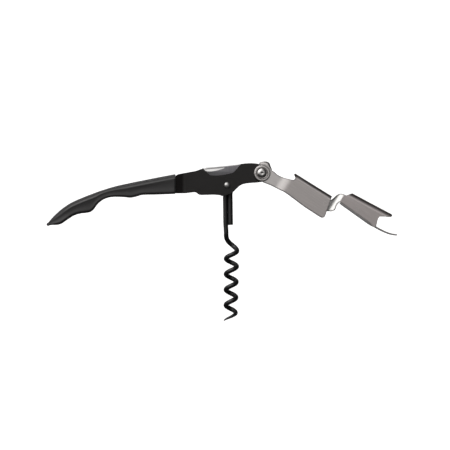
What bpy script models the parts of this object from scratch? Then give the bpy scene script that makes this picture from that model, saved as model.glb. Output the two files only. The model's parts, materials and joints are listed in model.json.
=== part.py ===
"""Double-hinged waiter's corkscrew: steel frame with a moulded grip, foil knife,
wire worm and a two-stage bottle lever.

Dimensions are in millimetres and the meshes are scaled to metres.  +Z is up, +X runs
towards the lever, -Y is the near side.  The scene's origin is the middle of the opened
tool's bounding box; ORIGIN says where that is in the drawing's X and Z.
"""
import math
import bpy
import bmesh
from mathutils import Vector

for old in list(bpy.data.objects):
    bpy.data.objects.remove(old, do_unlink=True)

MM = 0.001
SIDES = (("near", -1), ("far", 1))

# ---- driving dimensions -----------------------------------------------------
ORIGIN = (-0.3, -0.152)          # X, Z
WORM_AXIS = (2.7, 30.7)          # X, Z of the worm's pivot rivet
LEVER_AXIS = (21.9, 37.2)        # X, Z of the lever's main rivet
LEVER_DROP = math.radians(31.9)  # lever's slope below horizontal
HINGE_UV = (38.1, 4.1)           # stage hinge, along and across the lever
FORK_RIVET_UV = (55.0, 10.6)     # guide fork's rivets, along and across the lever
SPRING_PIN = (-15.0, 33.6)       # X, Z of the leaf spring's cross pin
TANG_RIVETS = {"rear": (-50.0, 29.6), "front": (-33.0, 33.0)}  # X, Z

# distances from the mid plane
PLATE_IN, PLATE_OUT = 4.3, 5.5   # frame plate faces
SPACER_HALF = PLATE_IN - 0.1     # parts that fill the gap between the plates
GRIP_HALF = 6.5                  # half width of the grip
NECK_OUT = 6.9                   # lever arms at the neck
BODY_OUT = 7.65                  # lever side plates
EAR_IN, EAR_OUT = 5.75, 6.65     # second stage ears
SHEET = 0.9                      # lever sheet thickness
THROUGH = 12                     # cutters that pass through the whole lever

LEVER_RIVET_R, LEVER_HOLE_R = 1.75, 1.80
WORM_RIVET_R, WORM_HOLE_R = 1.40, 1.45
TANG_RIVET_R, TANG_HOLE_R = 1.0, 1.05
SPRING_PIN_R, SPRING_HOLE_R, LUG_HOLE_R = 0.8, 0.85, 0.9
HINGE_RIVET_R, HINGE_HOLE_R = 1.0, 1.05
FORK_RIVET_R, FORK_HOLE_R = 0.7, 0.8


# ---- outlines ---------------------------------------------------------------
def height_at(outline, x):
    """Z of an outline of ascending X, by smooth interpolation; level beyond its ends."""
    if x <= outline[0][0]:
        return outline[0][1]
    if x >= outline[-1][0]:
        return outline[-1][1]
    last = len(outline) - 1
    i = next(k for k in range(last) if x <= outline[k + 1][0])
    (x0, z0), (x1, z1) = outline[i], outline[i + 1]
    before = outline[i - 1] if i > 0 else (2 * x0 - x1, 2 * z0 - z1)
    after = outline[i + 2] if i + 1 < last else (2 * x1 - x0, 2 * z1 - z0)
    slope0 = (z1 - before[1]) / (x1 - before[0]) * (x1 - x0)
    slope1 = (after[1] - z0) / (after[0] - x0) * (x1 - x0)
    t = (x - x0) / (x1 - x0)
    blend = t * t * (3 - 2 * t)
    return (z0 + (z1 - z0) * blend + (t ** 3 - 2 * t * t + t) * slope0
            + (t ** 3 - t * t) * slope1)


def smooth(points, steps, closed=False):
    """Catmull-Rom curve through the points, in so many steps a span."""
    count = len(points)
    curve = []
    for i in range(count if closed else count - 1):
        if closed:
            four = [points[(i + k) % count] for k in (-1, 0, 1, 2)]
        else:
            four = [points[min(max(i + k, 0), count - 1)] for k in (-1, 0, 1, 2)]
        for step in range(steps):
            t = step / steps
            curve.append(tuple(
                0.5 * (2 * start + (end - before) * t
                       + (2 * before - 5 * start + 4 * end - after) * t * t
                       + (3 * start - before - 3 * end + after) * t ** 3)
                for before, start, end, after in zip(*four)))
    if not closed:
        curve.append(points[-1])
    return curve


def arc(centre, radius, start, end, steps):
    """Points along an arc between two angles in degrees."""
    angles = [math.radians(start + (end - start) * k / steps) for k in range(steps + 1)]
    return [(centre[0] + radius * math.cos(a), centre[1] + radius * math.sin(a))
            for a in angles]


def right_normals(points):
    """Unit vectors to the right of travel at each point of an open line."""
    normals = []
    for i in range(len(points)):
        x0, z0 = points[max(i - 1, 0)]
        x1, z1 = points[min(i + 1, len(points) - 1)]
        travel = Vector((x1 - x0, z1 - z0)).normalized()
        normals.append((travel.y, -travel.x))
    return normals


def lever_xz(u, v):
    """Lever coordinates (along, across) to X, Z."""
    cos, sin = math.cos(LEVER_DROP), math.sin(LEVER_DROP)
    return (LEVER_AXIS[0] + u * cos + v * sin, LEVER_AXIS[1] - u * sin + v * cos)


# ---- meshes -----------------------------------------------------------------
def skin(bm, point_rings, closed=False):
    """Join successive rings with faces; a ring of one point makes a fan."""
    rings = [[bm.verts.new(point) for point in ring] for ring in point_rings]
    following = rings[1:] + rings[:1] if closed else rings[1:]
    for this, after in zip(rings, following):
        count = max(len(this), len(after))
        for i in range(count):
            j = (i + 1) % count
            if len(this) == 1:
                bm.faces.new((this[0], after[i], after[j]))
            elif len(after) == 1:
                bm.faces.new((this[i], after[0], this[j]))
            else:
                bm.faces.new((this[i], after[i], after[j], this[j]))
    return rings


def capped(point_rings):
    """Skin over the rings, with a flat face at each end."""
    bm = bmesh.new()
    rings = skin(bm, point_rings)
    bm.faces.new(rings[0])
    bm.faces.new(rings[-1][::-1])
    return bm


def prism(points, y0, y1):
    """Extrude a closed X-Z outline between two Y planes."""
    bm = bmesh.new()
    a = [bm.verts.new((x, y0, z)) for x, z in points]
    b = [bm.verts.new((x, y1, z)) for x, z in points]
    bm.faces.new(a)
    bm.faces.new(b[::-1])
    for i in range(len(points)):
        j = (i + 1) % len(points)
        bm.faces.new((a[j], a[i], b[i], b[j]))
    return bm


def lever_prism(points, y0=-THROUGH, y1=THROUGH):
    """Prism from an outline in lever coordinates."""
    return prism([lever_xz(u, v) for u, v in points], y0, y1)


def turned(profile, centre, segments, bm=None):
    """Revolve (radius, y) stations about the Y line through centre.

    A profile that starts and ends off the axis closes on itself.
    """
    bm = bm or bmesh.new()
    cx, cz = centre
    turns = [2 * math.pi * k / segments for k in range(segments)]
    rings = [[(cx + r * math.cos(a), y, cz + r * math.sin(a)) for a in turns]
             if r else [(cx, y, cz)] for r, y in profile]
    skin(bm, rings, closed=bool(profile[0][0] and profile[-1][0]))
    return bm


def rod(radius, y0, y1, centre, segments, bm=None):
    return turned([(0, y0), (radius, y0), (radius, y1), (0, y1)], centre, segments, bm)


def tube(r_in, r_out, y0, y1, centre, segments):
    profile = [(r_in, y0), (r_out, y0), (r_out, y1), (r_in, y1)]
    return turned(profile, centre, segments)


def both_ends(profile):
    """(radius, y) stations of a far end, mirrored into a whole symmetric profile."""
    return [(r, -y) for r, y in profile] + profile[::-1]


def tang_rods(radius, half):
    """Both tang rivets' rods in one mesh."""
    bm = bmesh.new()
    for centre in TANG_RIVETS.values():
        rod(radius, -half, half, centre, 18, bm)
    return bm


def span(side, inner, outer):
    """Y planes, lower first, of a piece between two distances on one side."""
    return sorted((side * inner, side * outer))


# ---- objects ----------------------------------------------------------------
def material(name, colour, roughness, metallic):
    mat = bpy.data.materials.new(name)
    mat.use_nodes = True
    inputs = mat.node_tree.nodes["Principled BSDF"].inputs
    inputs["Base Color"].default_value = (*colour, 1.0)
    inputs["Roughness"].default_value = roughness
    inputs["Metallic"].default_value = metallic
    mat.diffuse_color = (*colour, 1.0)
    return mat


def add(name, bm, mat=None, parent=None):
    """Turn a bmesh in drawing millimetres into an object, optionally under a pivot."""
    bmesh.ops.remove_doubles(bm, verts=bm.verts, dist=0.0005)
    bmesh.ops.recalc_face_normals(bm, faces=bm.faces)
    bmesh.ops.translate(bm, vec=(-ORIGIN[0], 0.0, -ORIGIN[1]), verts=bm.verts)
    bmesh.ops.scale(bm, vec=(MM, MM, MM), verts=bm.verts)
    mesh = bpy.data.meshes.new(name)
    ob = bpy.data.objects.new(name, mesh)
    bpy.context.scene.collection.objects.link(ob)
    if parent is not None:
        bmesh.ops.translate(bm, vec=-Vector(parent.location), verts=bm.verts)
        ob.parent = parent
    bm.to_mesh(mesh)
    bm.free()
    if mat is not None:
        mesh.materials.append(mat)
    mesh.shade_smooth()
    mesh.set_sharp_from_angle(angle=math.radians(32))
    return ob


def boolean(ob, name, bm, operation='DIFFERENCE'):
    """Combine an object with a hidden helper built from bm."""
    helper = add(name, bm)
    helper.hide_render = True
    helper.display_type = 'WIRE'
    modifier = ob.modifiers.new(name, 'BOOLEAN')
    modifier.object = helper
    modifier.operation = operation
    modifier.solver = 'EXACT'


def pivot(name, centre):
    empty = bpy.data.objects.new(name, None)
    empty.empty_display_size = 0.006
    empty.location = ((centre[0] - ORIGIN[0]) * MM, 0.0, (centre[1] - ORIGIN[1]) * MM)
    bpy.context.scene.collection.objects.link(empty)
    return empty


BLACK_STEEL = material("black_steel", colour=(0.022, 0.021, 0.021), roughness=0.42, metallic=0.6)
STEEL = material("brushed_steel", colour=(0.56, 0.52, 0.51), roughness=0.34, metallic=1.0)
BRIGHT_STEEL = material("bright_steel", colour=(0.72, 0.71, 0.70), roughness=0.22, metallic=1.0)
BLADE_STEEL = material("blade_steel", colour=(0.42, 0.41, 0.42), roughness=0.30, metallic=1.0)
SOFT_GRIP = material("soft_grip", colour=(0.035, 0.035, 0.037), roughness=0.55, metallic=0.0)
WORM_COATING = material("worm_coating", colour=(0.02, 0.02, 0.022), roughness=0.28, metallic=0.3)

HINGE_AXIS = lever_xz(*HINGE_UV)
FORK_RIVET_AXIS = lever_xz(*FORK_RIVET_UV)
lever_pivot = pivot("lever_pivot", LEVER_AXIS)
worm_pivot = pivot("worm_pivot", WORM_AXIS)
stage_pivot = pivot("stage_pivot", HINGE_AXIS)
knife_pivot = pivot("knife_pivot", LEVER_AXIS)

# ---- frame ------------------------------------------------------------------
# X, Z along the grip, from its tail to the frame
GRIP_TOP = [
    (-96.0, 9.8), (-93.3, 12.9), (-89.7, 16.4), (-86.2, 19.1), (-82.6, 21.3), (-78.2, 23.3),
    (-72.7, 25.5), (-66.1, 27.9), (-58.4, 30.2), (-47.9, 32.5), (-36.9, 34.7), (-26.0, 36.8)]
GRIP_BOTTOM = [
    (-96.0, 8.4), (-93.9, 8.8), (-90.8, 8.9), (-88.6, 9.5), (-86.2, 11.1), (-83.7, 12.8),
    (-81.5, 14.1), (-78.2, 15.1), (-74.9, 15.5), (-72.4, 16.1), (-70.6, 17.6), (-69.1, 19.8),
    (-66.9, 21.9), (-64.7, 23.2), (-61.7, 24.1), (-58.1, 24.3), (-54.0, 24.1), (-50.7, 23.8),
    (-48.5, 24.1), (-46.3, 24.7), (-44.1, 25.3), (-36.9, 25.5), (-26.0, 25.9)]
# X, Z of the bare frame: top towards the lever, bottom back from it
FRAME_TOP = [
    (-25.15, 36.1), (-24.1, 36.65), (-21.0, 37.3), (-17.7, 37.9), (-14.4, 38.5),
    (-12.2, 39.3), (-9.4, 40.3), (-6.7, 40.6), (-1.2, 41.1), (4.3, 41.7), (9.8, 42.3),
    (12.6, 42.6), (15.3, 42.6), (18.6, 42.2)]
FRAME_BOTTOM = [
    (15.3, 31.7), (12.3, 31.4), (10.1, 30.7), (7.9, 28.8), (5.4, 26.6), (0.7, 24.8),
    (-1.2, 25.2), (-4.5, 25.5), (-8.9, 25.4), (-12.5, 25.5), (-14.4, 26.7), (-16.3, 26.8),
    (-20.2, 26.3)]
# X, Z of the opening in the near plate's top edge
WINDOW = [
    (-10.6, 40.6), (-10.0, 39.3), (-7.0, 36.4), (-5.6, 36.0), (-2.6, 36.0), (1.2, 36.4),
    (5.2, 37.3), (6.6, 38.0), (10.1, 42.0), (10.6, 44.5), (-10.6, 44.5)]
TANG_X = -57.0                   # end of the tang inside the grip
TANG_TOP_INSET, TANG_BOTTOM_INSET = 1.75, 0.35
FRAME_END_R = 4.35               # frame's round end about the lever's rivet
STOWED_SLOPE = math.radians(6.5)  # folded worm's slope below horizontal
STOWED_HEIGHT = 1.9 + 0.35       # folded worm's top and clearance above its axis


def plate_outline():
    top = [(x, height_at(GRIP_TOP, x) - TANG_TOP_INSET)
           for x in (TANG_X, -50, -43, -36, -29.5, -25.3)]
    bottom = [(x, height_at(GRIP_BOTTOM, x) + TANG_BOTTOM_INSET)
              for x in (-26.5, -36, -43.5, -46.5, -51, TANG_X)]
    end = arc(LEVER_AXIS, FRAME_END_R, 84, -84, 12)
    return top + smooth(FRAME_TOP, 2) + end + smooth(FRAME_BOTTOM, 2) + bottom


def frame_plate(name, side, window):
    y0, y1 = span(side, PLATE_IN, PLATE_OUT)
    cut = (y0 - 1, y1 + 1)
    ob = add(name, prism(plate_outline(), y0, y1), BLACK_STEEL)
    boolean(ob, name + "_lever_hole", rod(LEVER_HOLE_R, *cut, LEVER_AXIS, 32))
    boolean(ob, name + "_worm_hole", rod(WORM_HOLE_R, *cut, WORM_AXIS, 28))
    tang = bmesh.new()
    for centre in TANG_RIVETS.values():
        rod(TANG_HOLE_R, *cut, centre, 18, tang)
    boolean(ob, name + "_tang_holes", tang)
    boolean(ob, name + "_spring_hole", rod(SPRING_HOLE_R, *cut, SPRING_PIN, 16))
    if window:
        boolean(ob, name + "_window", prism(WINDOW, *cut))


def worm_roof(x):
    """Top of the folded worm's envelope at a given X."""
    return WORM_AXIS[1] - (WORM_AXIS[0] - x) * math.tan(STOWED_SLOPE) + STOWED_HEIGHT


def frame_spacer():
    """Bar between the plates, above the stowed worm, and the rivets through its tang."""
    stations = [-56.5, -48, -40, -32, -24, -19.5]
    top = [(x, height_at(GRIP_TOP if x < -25 else FRAME_TOP, x) - 2.0) for x in stations]
    bottom = [(x, worm_roof(x)) for x in reversed(stations)]
    ob = add("frame_spacer", prism(top + bottom, -SPACER_HALF, SPACER_HALF), BLACK_STEEL)
    boolean(ob, "spacer_holes", tang_rods(TANG_HOLE_R, 6))
    for place, centre in TANG_RIVETS.items():
        add("tang_rivet_" + place, rod(TANG_RIVET_R, -PLATE_OUT, PLATE_OUT, centre, 18),
            BRIGHT_STEEL)


frame_plate("frame_plate_near", -1, window=True)
frame_plate("frame_plate_far", 1, window=False)
frame_spacer()

# ---- grip -------------------------------------------------------------------
GRIP_TAIL_X = -96.0
GRIP_LENGTH = 70.4
GRIP_STEPS = 50
TAPER_X = -84                    # the grip narrows from here to its tail
TAIL = (-96.0, 9.0)              # X, Z of the tail peg's place
TAIL_DIR = (0.86, 0.51)          # X, Z direction from the tail into the grip


def grip_ring(x):
    """Cross-section of the grip: flat back, sloping shoulders, small bottom edges."""
    top, bottom = height_at(GRIP_TOP, x), height_at(GRIP_BOTTOM, x)
    height = top - bottom
    taper = max(0.0, (TAPER_X - x) / (TAPER_X - GRIP_TAIL_X)) ** 1.7
    half = GRIP_HALF * (1 - 0.62 * taper)
    shoulder = min(1.9, 0.30 * height)
    edge = min(0.8, 0.14 * height)
    flat = 0.50 * half
    # Y, Z of the far side, top to bottom
    side = [(flat, top - 0.02 * height),
            (flat + 0.34 * (half - flat), top - 0.16 * shoulder),
            (flat + 0.72 * (half - flat), top - 0.50 * shoulder),
            (half - 0.12, top - shoulder + 0.05),
            (half, top - shoulder - 0.45 * min(1, height / 6)),
            (half, bottom + edge),
            (half - 0.3 * edge, bottom + 0.3 * edge),
            (half - edge, bottom)]
    ring = [(-y, z) for y, z in side] + side[::-1] + [(0.0, top)]
    return [(x, y, z) for y, z in ring]


def tail_piece(radius, start, end):
    """A round peg along the tail's direction, rounded at its outer end."""
    segments = 14
    across = Vector((0, 1, 0))
    upward = Vector((-TAIL_DIR[1], 0, TAIL_DIR[0]))
    turns = [2 * math.pi * k / segments for k in range(segments)]
    # radius, distance along the tail's direction
    stations = [(0, start), (radius * 0.62, start + 0.12), (radius * 0.92, start + 0.45),
                (radius, start + 0.9), (radius, end), (0, end)]
    rings = []
    for r, along in stations:
        centre = Vector((TAIL[0] + TAIL_DIR[0] * along, 0, TAIL[1] + TAIL_DIR[1] * along))
        rings.append([centre + r * (math.cos(a) * across + math.sin(a) * upward)
                      for a in turns] if r else [centre])
    bm = bmesh.new()
    skin(bm, rings)
    return bm


def grip():
    rings = []
    for k in range(GRIP_STEPS + 1):
        t = k / GRIP_STEPS
        eased = t * 0.75 + 0.25 * t * t * (3 - 2 * t)
        rings.append(grip_ring(GRIP_TAIL_X + GRIP_LENGTH * eased))
    ob = add("grip", capped(rings), SOFT_GRIP)

    slot = [(x, height_at(GRIP_TOP, x) - 1.45) for x in (-57.4, -52, -46, -40, -34, -28, -20)]
    slot += [(-20, 0), (-57.4, 0)]
    boolean(ob, "grip_plate_slot", prism(slot, -PLATE_OUT - 0.1, PLATE_OUT + 0.1))

    slot = [(x, min(height_at(GRIP_TOP, x) - 1.2, worm_roof(x) + 0.9))
            for x in (-72.6, -70, -66, -62, -57)]
    slot += [(-57, 0), (-71.0, 0), (-72.6, 14)]
    boolean(ob, "grip_worm_slot", prism(slot, -4.65, 4.65))

    boolean(ob, "tail_hole", tail_piece(0.95, -2.5, 7.3))
    add("tail_peg", tail_piece(0.75, -0.5, 7.0), BLACK_STEEL)


grip()

# ---- knife ------------------------------------------------------------------
BLADE_T = 1.1
BLADE_HEEL_R = 4.1
TEETH, TOOTH_PITCH = 17, 1.25
# X, Z of the blade's back, tip to heel
BLADE_SPINE = [
    (-12.9, 38.2), (-12.0, 39.2), (-9.4, 40.2), (-6.7, 40.5), (-1.2, 41.0), (4.3, 41.6),
    (9.8, 42.2), (15.3, 42.3)]
# X, Z of the shallow nick in the blade's near face
BLADE_NICK = [
    (-10.1, 40.0), (-8.0, 40.25), (-4.0, 40.2), (0.2, 39.9), (-3.0, 38.9), (-7.0, 38.25),
    (-9.6, 38.6)]
# X, Z of the leaf spring's upper face
SPRING_LEAF = [
    (-17.0, 33.1), (-12.0, 33.6), (-6.0, 34.0), (0.0, 34.35), (6.0, 34.2), (12.0, 33.4),
    (16.2, 32.9)]
SPRING_T, SPRING_HALF = 0.75, 3.4


def blade_teeth():
    """Serrated edge from heel to tip, along a curve that rises faster at the heel."""
    points = []
    for k in range(TEETH):
        x = 10.5 - TOOTH_PITCH * k
        z = 35.3 + 0.004 * (x - 2) ** 2 * (2.0 if x > 2 else 1.0)
        points.append((x, z))
        if k < TEETH - 1:
            points.append((x - 0.62, z + 0.32))
    return points


def knife_blade():
    heel = arc(LEVER_AXIS, BLADE_HEEL_R, 90, -96, 12)
    outline = BLADE_SPINE + heel + [(18.0, 35.0), (13.0, 36.0)] + blade_teeth() + [(-11.4, 37.0)]
    ob = add("knife_blade", prism(outline, -BLADE_T / 2, BLADE_T / 2), BLADE_STEEL, knife_pivot)
    boolean(ob, "blade_hole", rod(LEVER_HOLE_R, -3, 3, LEVER_AXIS, 32))
    boolean(ob, "blade_nick", prism(smooth(BLADE_NICK, 3, closed=True), -3, -0.2))


def knife_spring():
    """Leaf spring that bears on the knife's heel, held by a cross pin."""
    upper = smooth(SPRING_LEAF, 2)
    lower = [(x, z - SPRING_T) for x, z in reversed(upper)]
    ob = add("knife_spring", prism(upper + lower, -SPRING_HALF, SPRING_HALF), BRIGHT_STEEL)
    boolean(ob, "spring_lug", rod(1.7, -SPRING_HALF, SPRING_HALF, SPRING_PIN, 20), 'UNION')
    boolean(ob, "spring_lug_hole", rod(LUG_HOLE_R, -6, 6, SPRING_PIN, 16))
    slot = [(-2.6, 30.0), (8.0, 30.0), (8.0, 38.0), (-2.6, 38.0)]
    boolean(ob, "spring_slot", prism(slot, -1.7, 1.7))
    add("spring_pin", rod(SPRING_PIN_R, -5.4, 5.4, SPRING_PIN, 16), BRIGHT_STEEL)


knife_blade()
knife_spring()

# ---- rivets, spacers and washers on the frame -------------------------------
# radius, y of the rivets' far ends, from the head's middle to the shank
LEVER_RIVET_END = [(0, 7.35), (0.55, 7.3), (0.85, 7.55), (1.35, 7.6), (1.8, 7.42), (2.0, 7.05),
                   (LEVER_RIVET_R, 7.0)]
WORM_RIVET_END = [(0, 6.6), (0.7, 6.5), (1.25, 6.2), (1.6, 5.75), (1.65, 5.6),
                  (WORM_RIVET_R, 5.58)]


def frame_rivets():
    add("lever_rivet", turned(both_ends(LEVER_RIVET_END), LEVER_AXIS, 24), BRIGHT_STEEL)
    add("worm_rivet", turned(both_ends(WORM_RIVET_END), WORM_AXIS, 20), BRIGHT_STEEL)


def washers_and_spacers():
    # name, inner and outer radius, distances from the mid plane, axis, segments
    rings = [("lever_washer_", 1.9, 3.9, 5.58, 5.92, LEVER_AXIS, 20),
             ("knife_spacer_", 1.9, 3.2, 0.65, SPACER_HALF, LEVER_AXIS, 18),
             ("worm_spacer_", 1.5, 2.6, 1.5, SPACER_HALF, WORM_AXIS, 18)]
    for place, side in SIDES:
        for name, r_in, r_out, inner, outer, axis, segments in rings:
            bm = tube(r_in, r_out, *span(side, inner, outer), axis, segments)
            add(name + place, bm, BRIGHT_STEEL)


frame_rivets()
washers_and_spacers()

# ---- worm -------------------------------------------------------------------
WIRE_R = 1.30
EYE_R = 1.62 + WIRE_R            # wire's centreline round the rivet
HELIX_R0, HELIX_R1 = 2.98, 2.74  # centreline radius, top and tip
PITCH = 8.52
TURNS = 4.5
LEAD_STEPS, HELIX_STEPS, POINT_STEPS = 9, 58, 9
LEAD_TOP, HELIX_TOP = -26.8, -36.1  # Z of the lead-in's and the helix's start, from the rivet
# X, Z from the worm's rivet
RETURN_LEG = [(1.94, -21.8), (1.86, -14.0), (1.74, -7.0), (1.79, -5.2)]
MAIN_LEG = [(-1.05, -5.2), (-1.0, -7.0), (-0.90, -14.0), (-0.81, -20.5), (-0.62, -23.5),
            (-0.48, -26.0)]


def worm_path():
    """Return leg, eye round the rivet, straight leg, then the helix down to its point."""
    eye = [(EYE_R * math.cos(math.radians(a)), EYE_R * math.sin(math.radians(a)))
           for a in range(-42, 223, 22)]
    points = [(x, 0, z) for x, z in RETURN_LEG + eye + MAIN_LEG]
    axis_x = MAIN_LEG[-1][0] + HELIX_R0
    for k in range(1, LEAD_STEPS + 1):   # half a turn, drawn out along the wire
        t = k / LEAD_STEPS
        angle = math.pi * (1 + t ** 1.5)
        points.append((axis_x + HELIX_R0 * math.cos(angle), -HELIX_R0 * math.sin(angle),
                       LEAD_TOP + (HELIX_TOP - LEAD_TOP) * t))
    for k in range(1, HELIX_STEPS + 1):
        t = k / HELIX_STEPS
        angle = math.pi * 2 * TURNS * t
        flare = 0.35 * max(0.0, (t - 0.93) / 0.07) ** 2
        r = HELIX_R0 + (HELIX_R1 - HELIX_R0) * t + flare
        points.append((axis_x - 0.50 * t + r * math.cos(angle), -r * math.sin(angle),
                       HELIX_TOP - PITCH * TURNS * t))
    return [(WORM_AXIS[0] + x, y, WORM_AXIS[1] + z) for x, y, z in points]


def sweep(path, radii, segments=8):
    """Round wire along a path, with a frame carried along so that it doesn't twist."""
    points = [Vector(p) for p in path]
    last = len(points) - 1
    turns = [2 * math.pi * k / segments for k in range(segments)]
    normal = Vector((0, 1, 0))
    previous = None
    rings = []
    for i, (point, radius) in enumerate(zip(points, radii)):
        tangent = (points[min(i + 1, last)] - points[max(i - 1, 0)]).normalized()
        if previous is not None:
            normal = previous.rotation_difference(tangent) @ normal
        normal = (normal - tangent * normal.dot(tangent)).normalized()
        binormal = tangent.cross(normal)
        rings.append([point + radius * (math.cos(a) * normal + math.sin(a) * binormal)
                      for a in turns])
        previous = tangent
    return capped(rings)


def worm():
    path = worm_path()
    radii = []
    for left in reversed(range(len(path))):   # stations left before the point
        t = min(1.0, (left + 0.8) / POINT_STEPS)
        radii.append(WIRE_R * (0.12 + 0.88 * t ** 0.8))
    add("worm", sweep(path, radii), WORM_COATING, worm_pivot)


worm()

# ---- lever ------------------------------------------------------------------
# Outlines in lever coordinates: u along from the main rivet, v across.
LOBE = [(-4.35, 4.1), (-3.3, 5.4), (-1.9, 6.5), (-0.5, 7.0), (0.7, 6.8), (2.2, 5.6), (3.6, 4.6)]
LIP_FACE = NECK_OUT - 0.01       # outer face of the lobe's lip
LIP_T = 0.88
LIP_REACH = 4.95                 # lip's inmost distance from the mid plane
CHANNEL_LOW = -9.0               # open edge of the uncut channels, below both outlines
STAGE_1_NOTCH = [(6.0, 4.1), (7.7, 3.8), (11.2, 4.2), (15.6, 5.5)]
STAGE_1_TOP = [
    (16.8, 6.1), (17.0, 7.0), (17.05, 7.8), (15.3, 8.8), (15.6, 9.75), (39.3, 9.75),
    (39.3, 8.6), (39.75, 7.3), (40.4, 4.2), (41.1, 1.0), (41.7, -1.6)]
STAGE_1_BOTTOM = [
    (39.0, -3.4), (29.8, -3.2), (21.5, -2.5), (16.2, -2.15), (12.8, -2.5), (8.1, -2.9),
    (3.4, -3.75)]
# u, outer half width
STAGE_1_WIDTHS = [(-8, NECK_OUT), (9.8, NECK_OUT), (11.8, 7.07), (14.2, 7.48),
                  (16.2, BODY_OUT), (45, BODY_OUT)]
STAGE_2_WIDTHS = [(30, EAR_OUT), (42.0, EAR_OUT), (44.7, BODY_OUT), (80, BODY_OUT)]
BACK_START, BACK_END = (47.9, 16.95), (72.0, 18.6)   # second stage's sloping back
BACK_SLOPE = (BACK_END[1] - BACK_START[1]) / (BACK_END[0] - BACK_START[0])
STAGE_2_OUTLINE = [
    (39.7, 7.45), (40.3, 8.3), (40.65, 9.4), (41.0, 10.6), (41.6, 12.3), (43.2, 13.7),
    (45.2, 14.0), (45.9, 14.3), (46.9, 15.6), BACK_START, (60.0, 17.8), BACK_END,
    (72.7, 18.3), (72.9, 17.8), (72.5, 16.9), (70.2, 15.7), (68.4, 14.6), (67.3, 13.8),
    (67.2, 12.2), (67.9, 9.6), (67.9, 8.9), (66.8, 8.15), (65.0, 8.15), (46.0, 9.3),
    (44.9, 9.2), (44.2, 8.0), (44.1, 6.5), (44.55, 4.2), (43.6, 2.6), (42.3, 1.75),
    (41.0, 1.2)]


def bent_side(half_width, v_top, bend):
    """Y, v of one face of a channel's side, from the open edge round the bend."""
    return [(half_width, CHANNEL_LOW)] + arc((half_width - bend, v_top - bend), bend, 0, 90, 3)


def channel(stations, v_top, bend, to_xz):
    """U section, open towards low v: stations are (u, outer half width)."""
    point_rings = []
    for u, half_width in stations:
        outer = bent_side(half_width, v_top, bend)
        inner = bent_side(half_width - SHEET, v_top - SHEET, bend - SHEET)
        section = outer + [(-y, v) for y, v in reversed(outer)]
        section += [(-y, v) for y, v in inner] + inner[::-1]
        ring = []
        for y, v in section:
            x, z = to_xz(u, v)
            ring.append((x, y, z))
        point_rings.append(ring)
    bm = bmesh.new()
    rings = skin(bm, point_rings)
    for ring in (rings[0], rings[-1]):
        for i in range(len(ring) // 2 - 1):
            bm.faces.new((ring[i], ring[i + 1], ring[-2 - i], ring[-1 - i]))
    return bm


def lobe_stations():
    """Per point of the lobe's edge: the point, its inward normal, fullness and roll radius."""
    points = smooth(LOBE, 2)
    stations = []
    for i, (point, normal) in enumerate(zip(points, right_normals(points))):
        full = math.sin(math.pi * (i + 0.6) / (len(points) + 0.2)) ** 0.7
        stations.append((point, normal, full, 0.35 + 1.25 * full))
    return stations


def lobe_inset():
    """Where the flat lobe ends and its rolled edge begins."""
    return [(u + nu * roll, v + nv * roll) for (u, v), (nu, nv), _, roll in lobe_stations()]


def lobe_lip(side):
    """The stop lobe's rolled edge: the sheet turns inwards along the lobe's outline and
    runs out flat at both ends."""
    rings = []
    for (u, v), (nu, nv), full, roll in lobe_stations():
        inner_roll = max(roll - LIP_T, 0.05)
        flat_end = LIP_FACE - LIP_T - inner_roll - 0.02
        y_end = flat_end - (flat_end - LIP_REACH) * max(0.0, 1.3 * full - 0.3)
        # offset from the edge, y
        section = ([(0.0, y_end)]
                   + arc((roll, LIP_FACE - roll), roll, 180, 90, 3)
                   + [(roll + 0.5, LIP_FACE), (roll + 0.5, LIP_FACE - LIP_T)]
                   + arc((LIP_T + inner_roll, LIP_FACE - LIP_T - inner_roll),
                         inner_roll, 90, 180, 3)
                   + [(LIP_T, y_end)])
        ring = []
        for offset, y in section:
            x, z = lever_xz(u + nu * offset, v + nv * offset)
            ring.append((x, side * y, z))
        rings.append(ring)
    return capped(rings)


def lever_stage_1():
    outline = (arc((0, 0), 4.5, 232, 141, 9) + lobe_inset() + [(4.9, 4.15)]
               + smooth(STAGE_1_NOTCH, 3) + STAGE_1_TOP
               + arc((40.4, -2.1), 1.25, 15, -80, 5) + STAGE_1_BOTTOM)
    body = channel(STAGE_1_WIDTHS, v_top=9.6, bend=2.1, to_xz=lever_xz)
    ob = add("lever_stage_1", body, STEEL, lever_pivot)
    boolean(ob, "stage_1_outline", lever_prism(outline), 'INTERSECT')
    # radius, distance from the mid plane
    boss = [(0, 6.5), (4.3, 6.5), (4.45, 6.8), (4.3, 7.1), (4.0, 7.25), (0, 7.25)]
    dish = [(0, 6.72), (2.3, 6.72), (3.0, 7.3), (3.0, 9), (0, 9)]
    for place, side in SIDES:
        boolean(ob, "lobe_lip_" + place, lobe_lip(side), 'UNION')
        boolean(ob, "boss_" + place,
                turned([(r, side * y) for r, y in boss], LEVER_AXIS, 32), 'UNION')
        boolean(ob, "boss_dish_" + place,
                turned([(r, side * y) for r, y in dish], LEVER_AXIS, 32))
    boolean(ob, "lever_bore", rod(LEVER_HOLE_R + 0.05, -THROUGH, THROUGH, LEVER_AXIS, 32))
    boolean(ob, "neck_gap", rod(4.4, -5.98, 5.98, LEVER_AXIS, 32))
    boolean(ob, "stage_1_hinge_holes", rod(HINGE_HOLE_R, -THROUGH, THROUGH, HINGE_AXIS, 20))


def hinge_rivets():
    # radius, distance from the mid plane
    profile = [(0, 7.62), (HINGE_RIVET_R, 7.62), (HINGE_RIVET_R, 5.68), (1.45, 5.66),
               (1.45, 5.6), (1.3, 5.57), (0, 5.57)]
    for place, side in SIDES:
        bm = turned([(r, side * y) for r, y in profile], HINGE_AXIS, 20)
        add("hinge_rivet_" + place, bm, BRIGHT_STEEL, lever_pivot)


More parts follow.
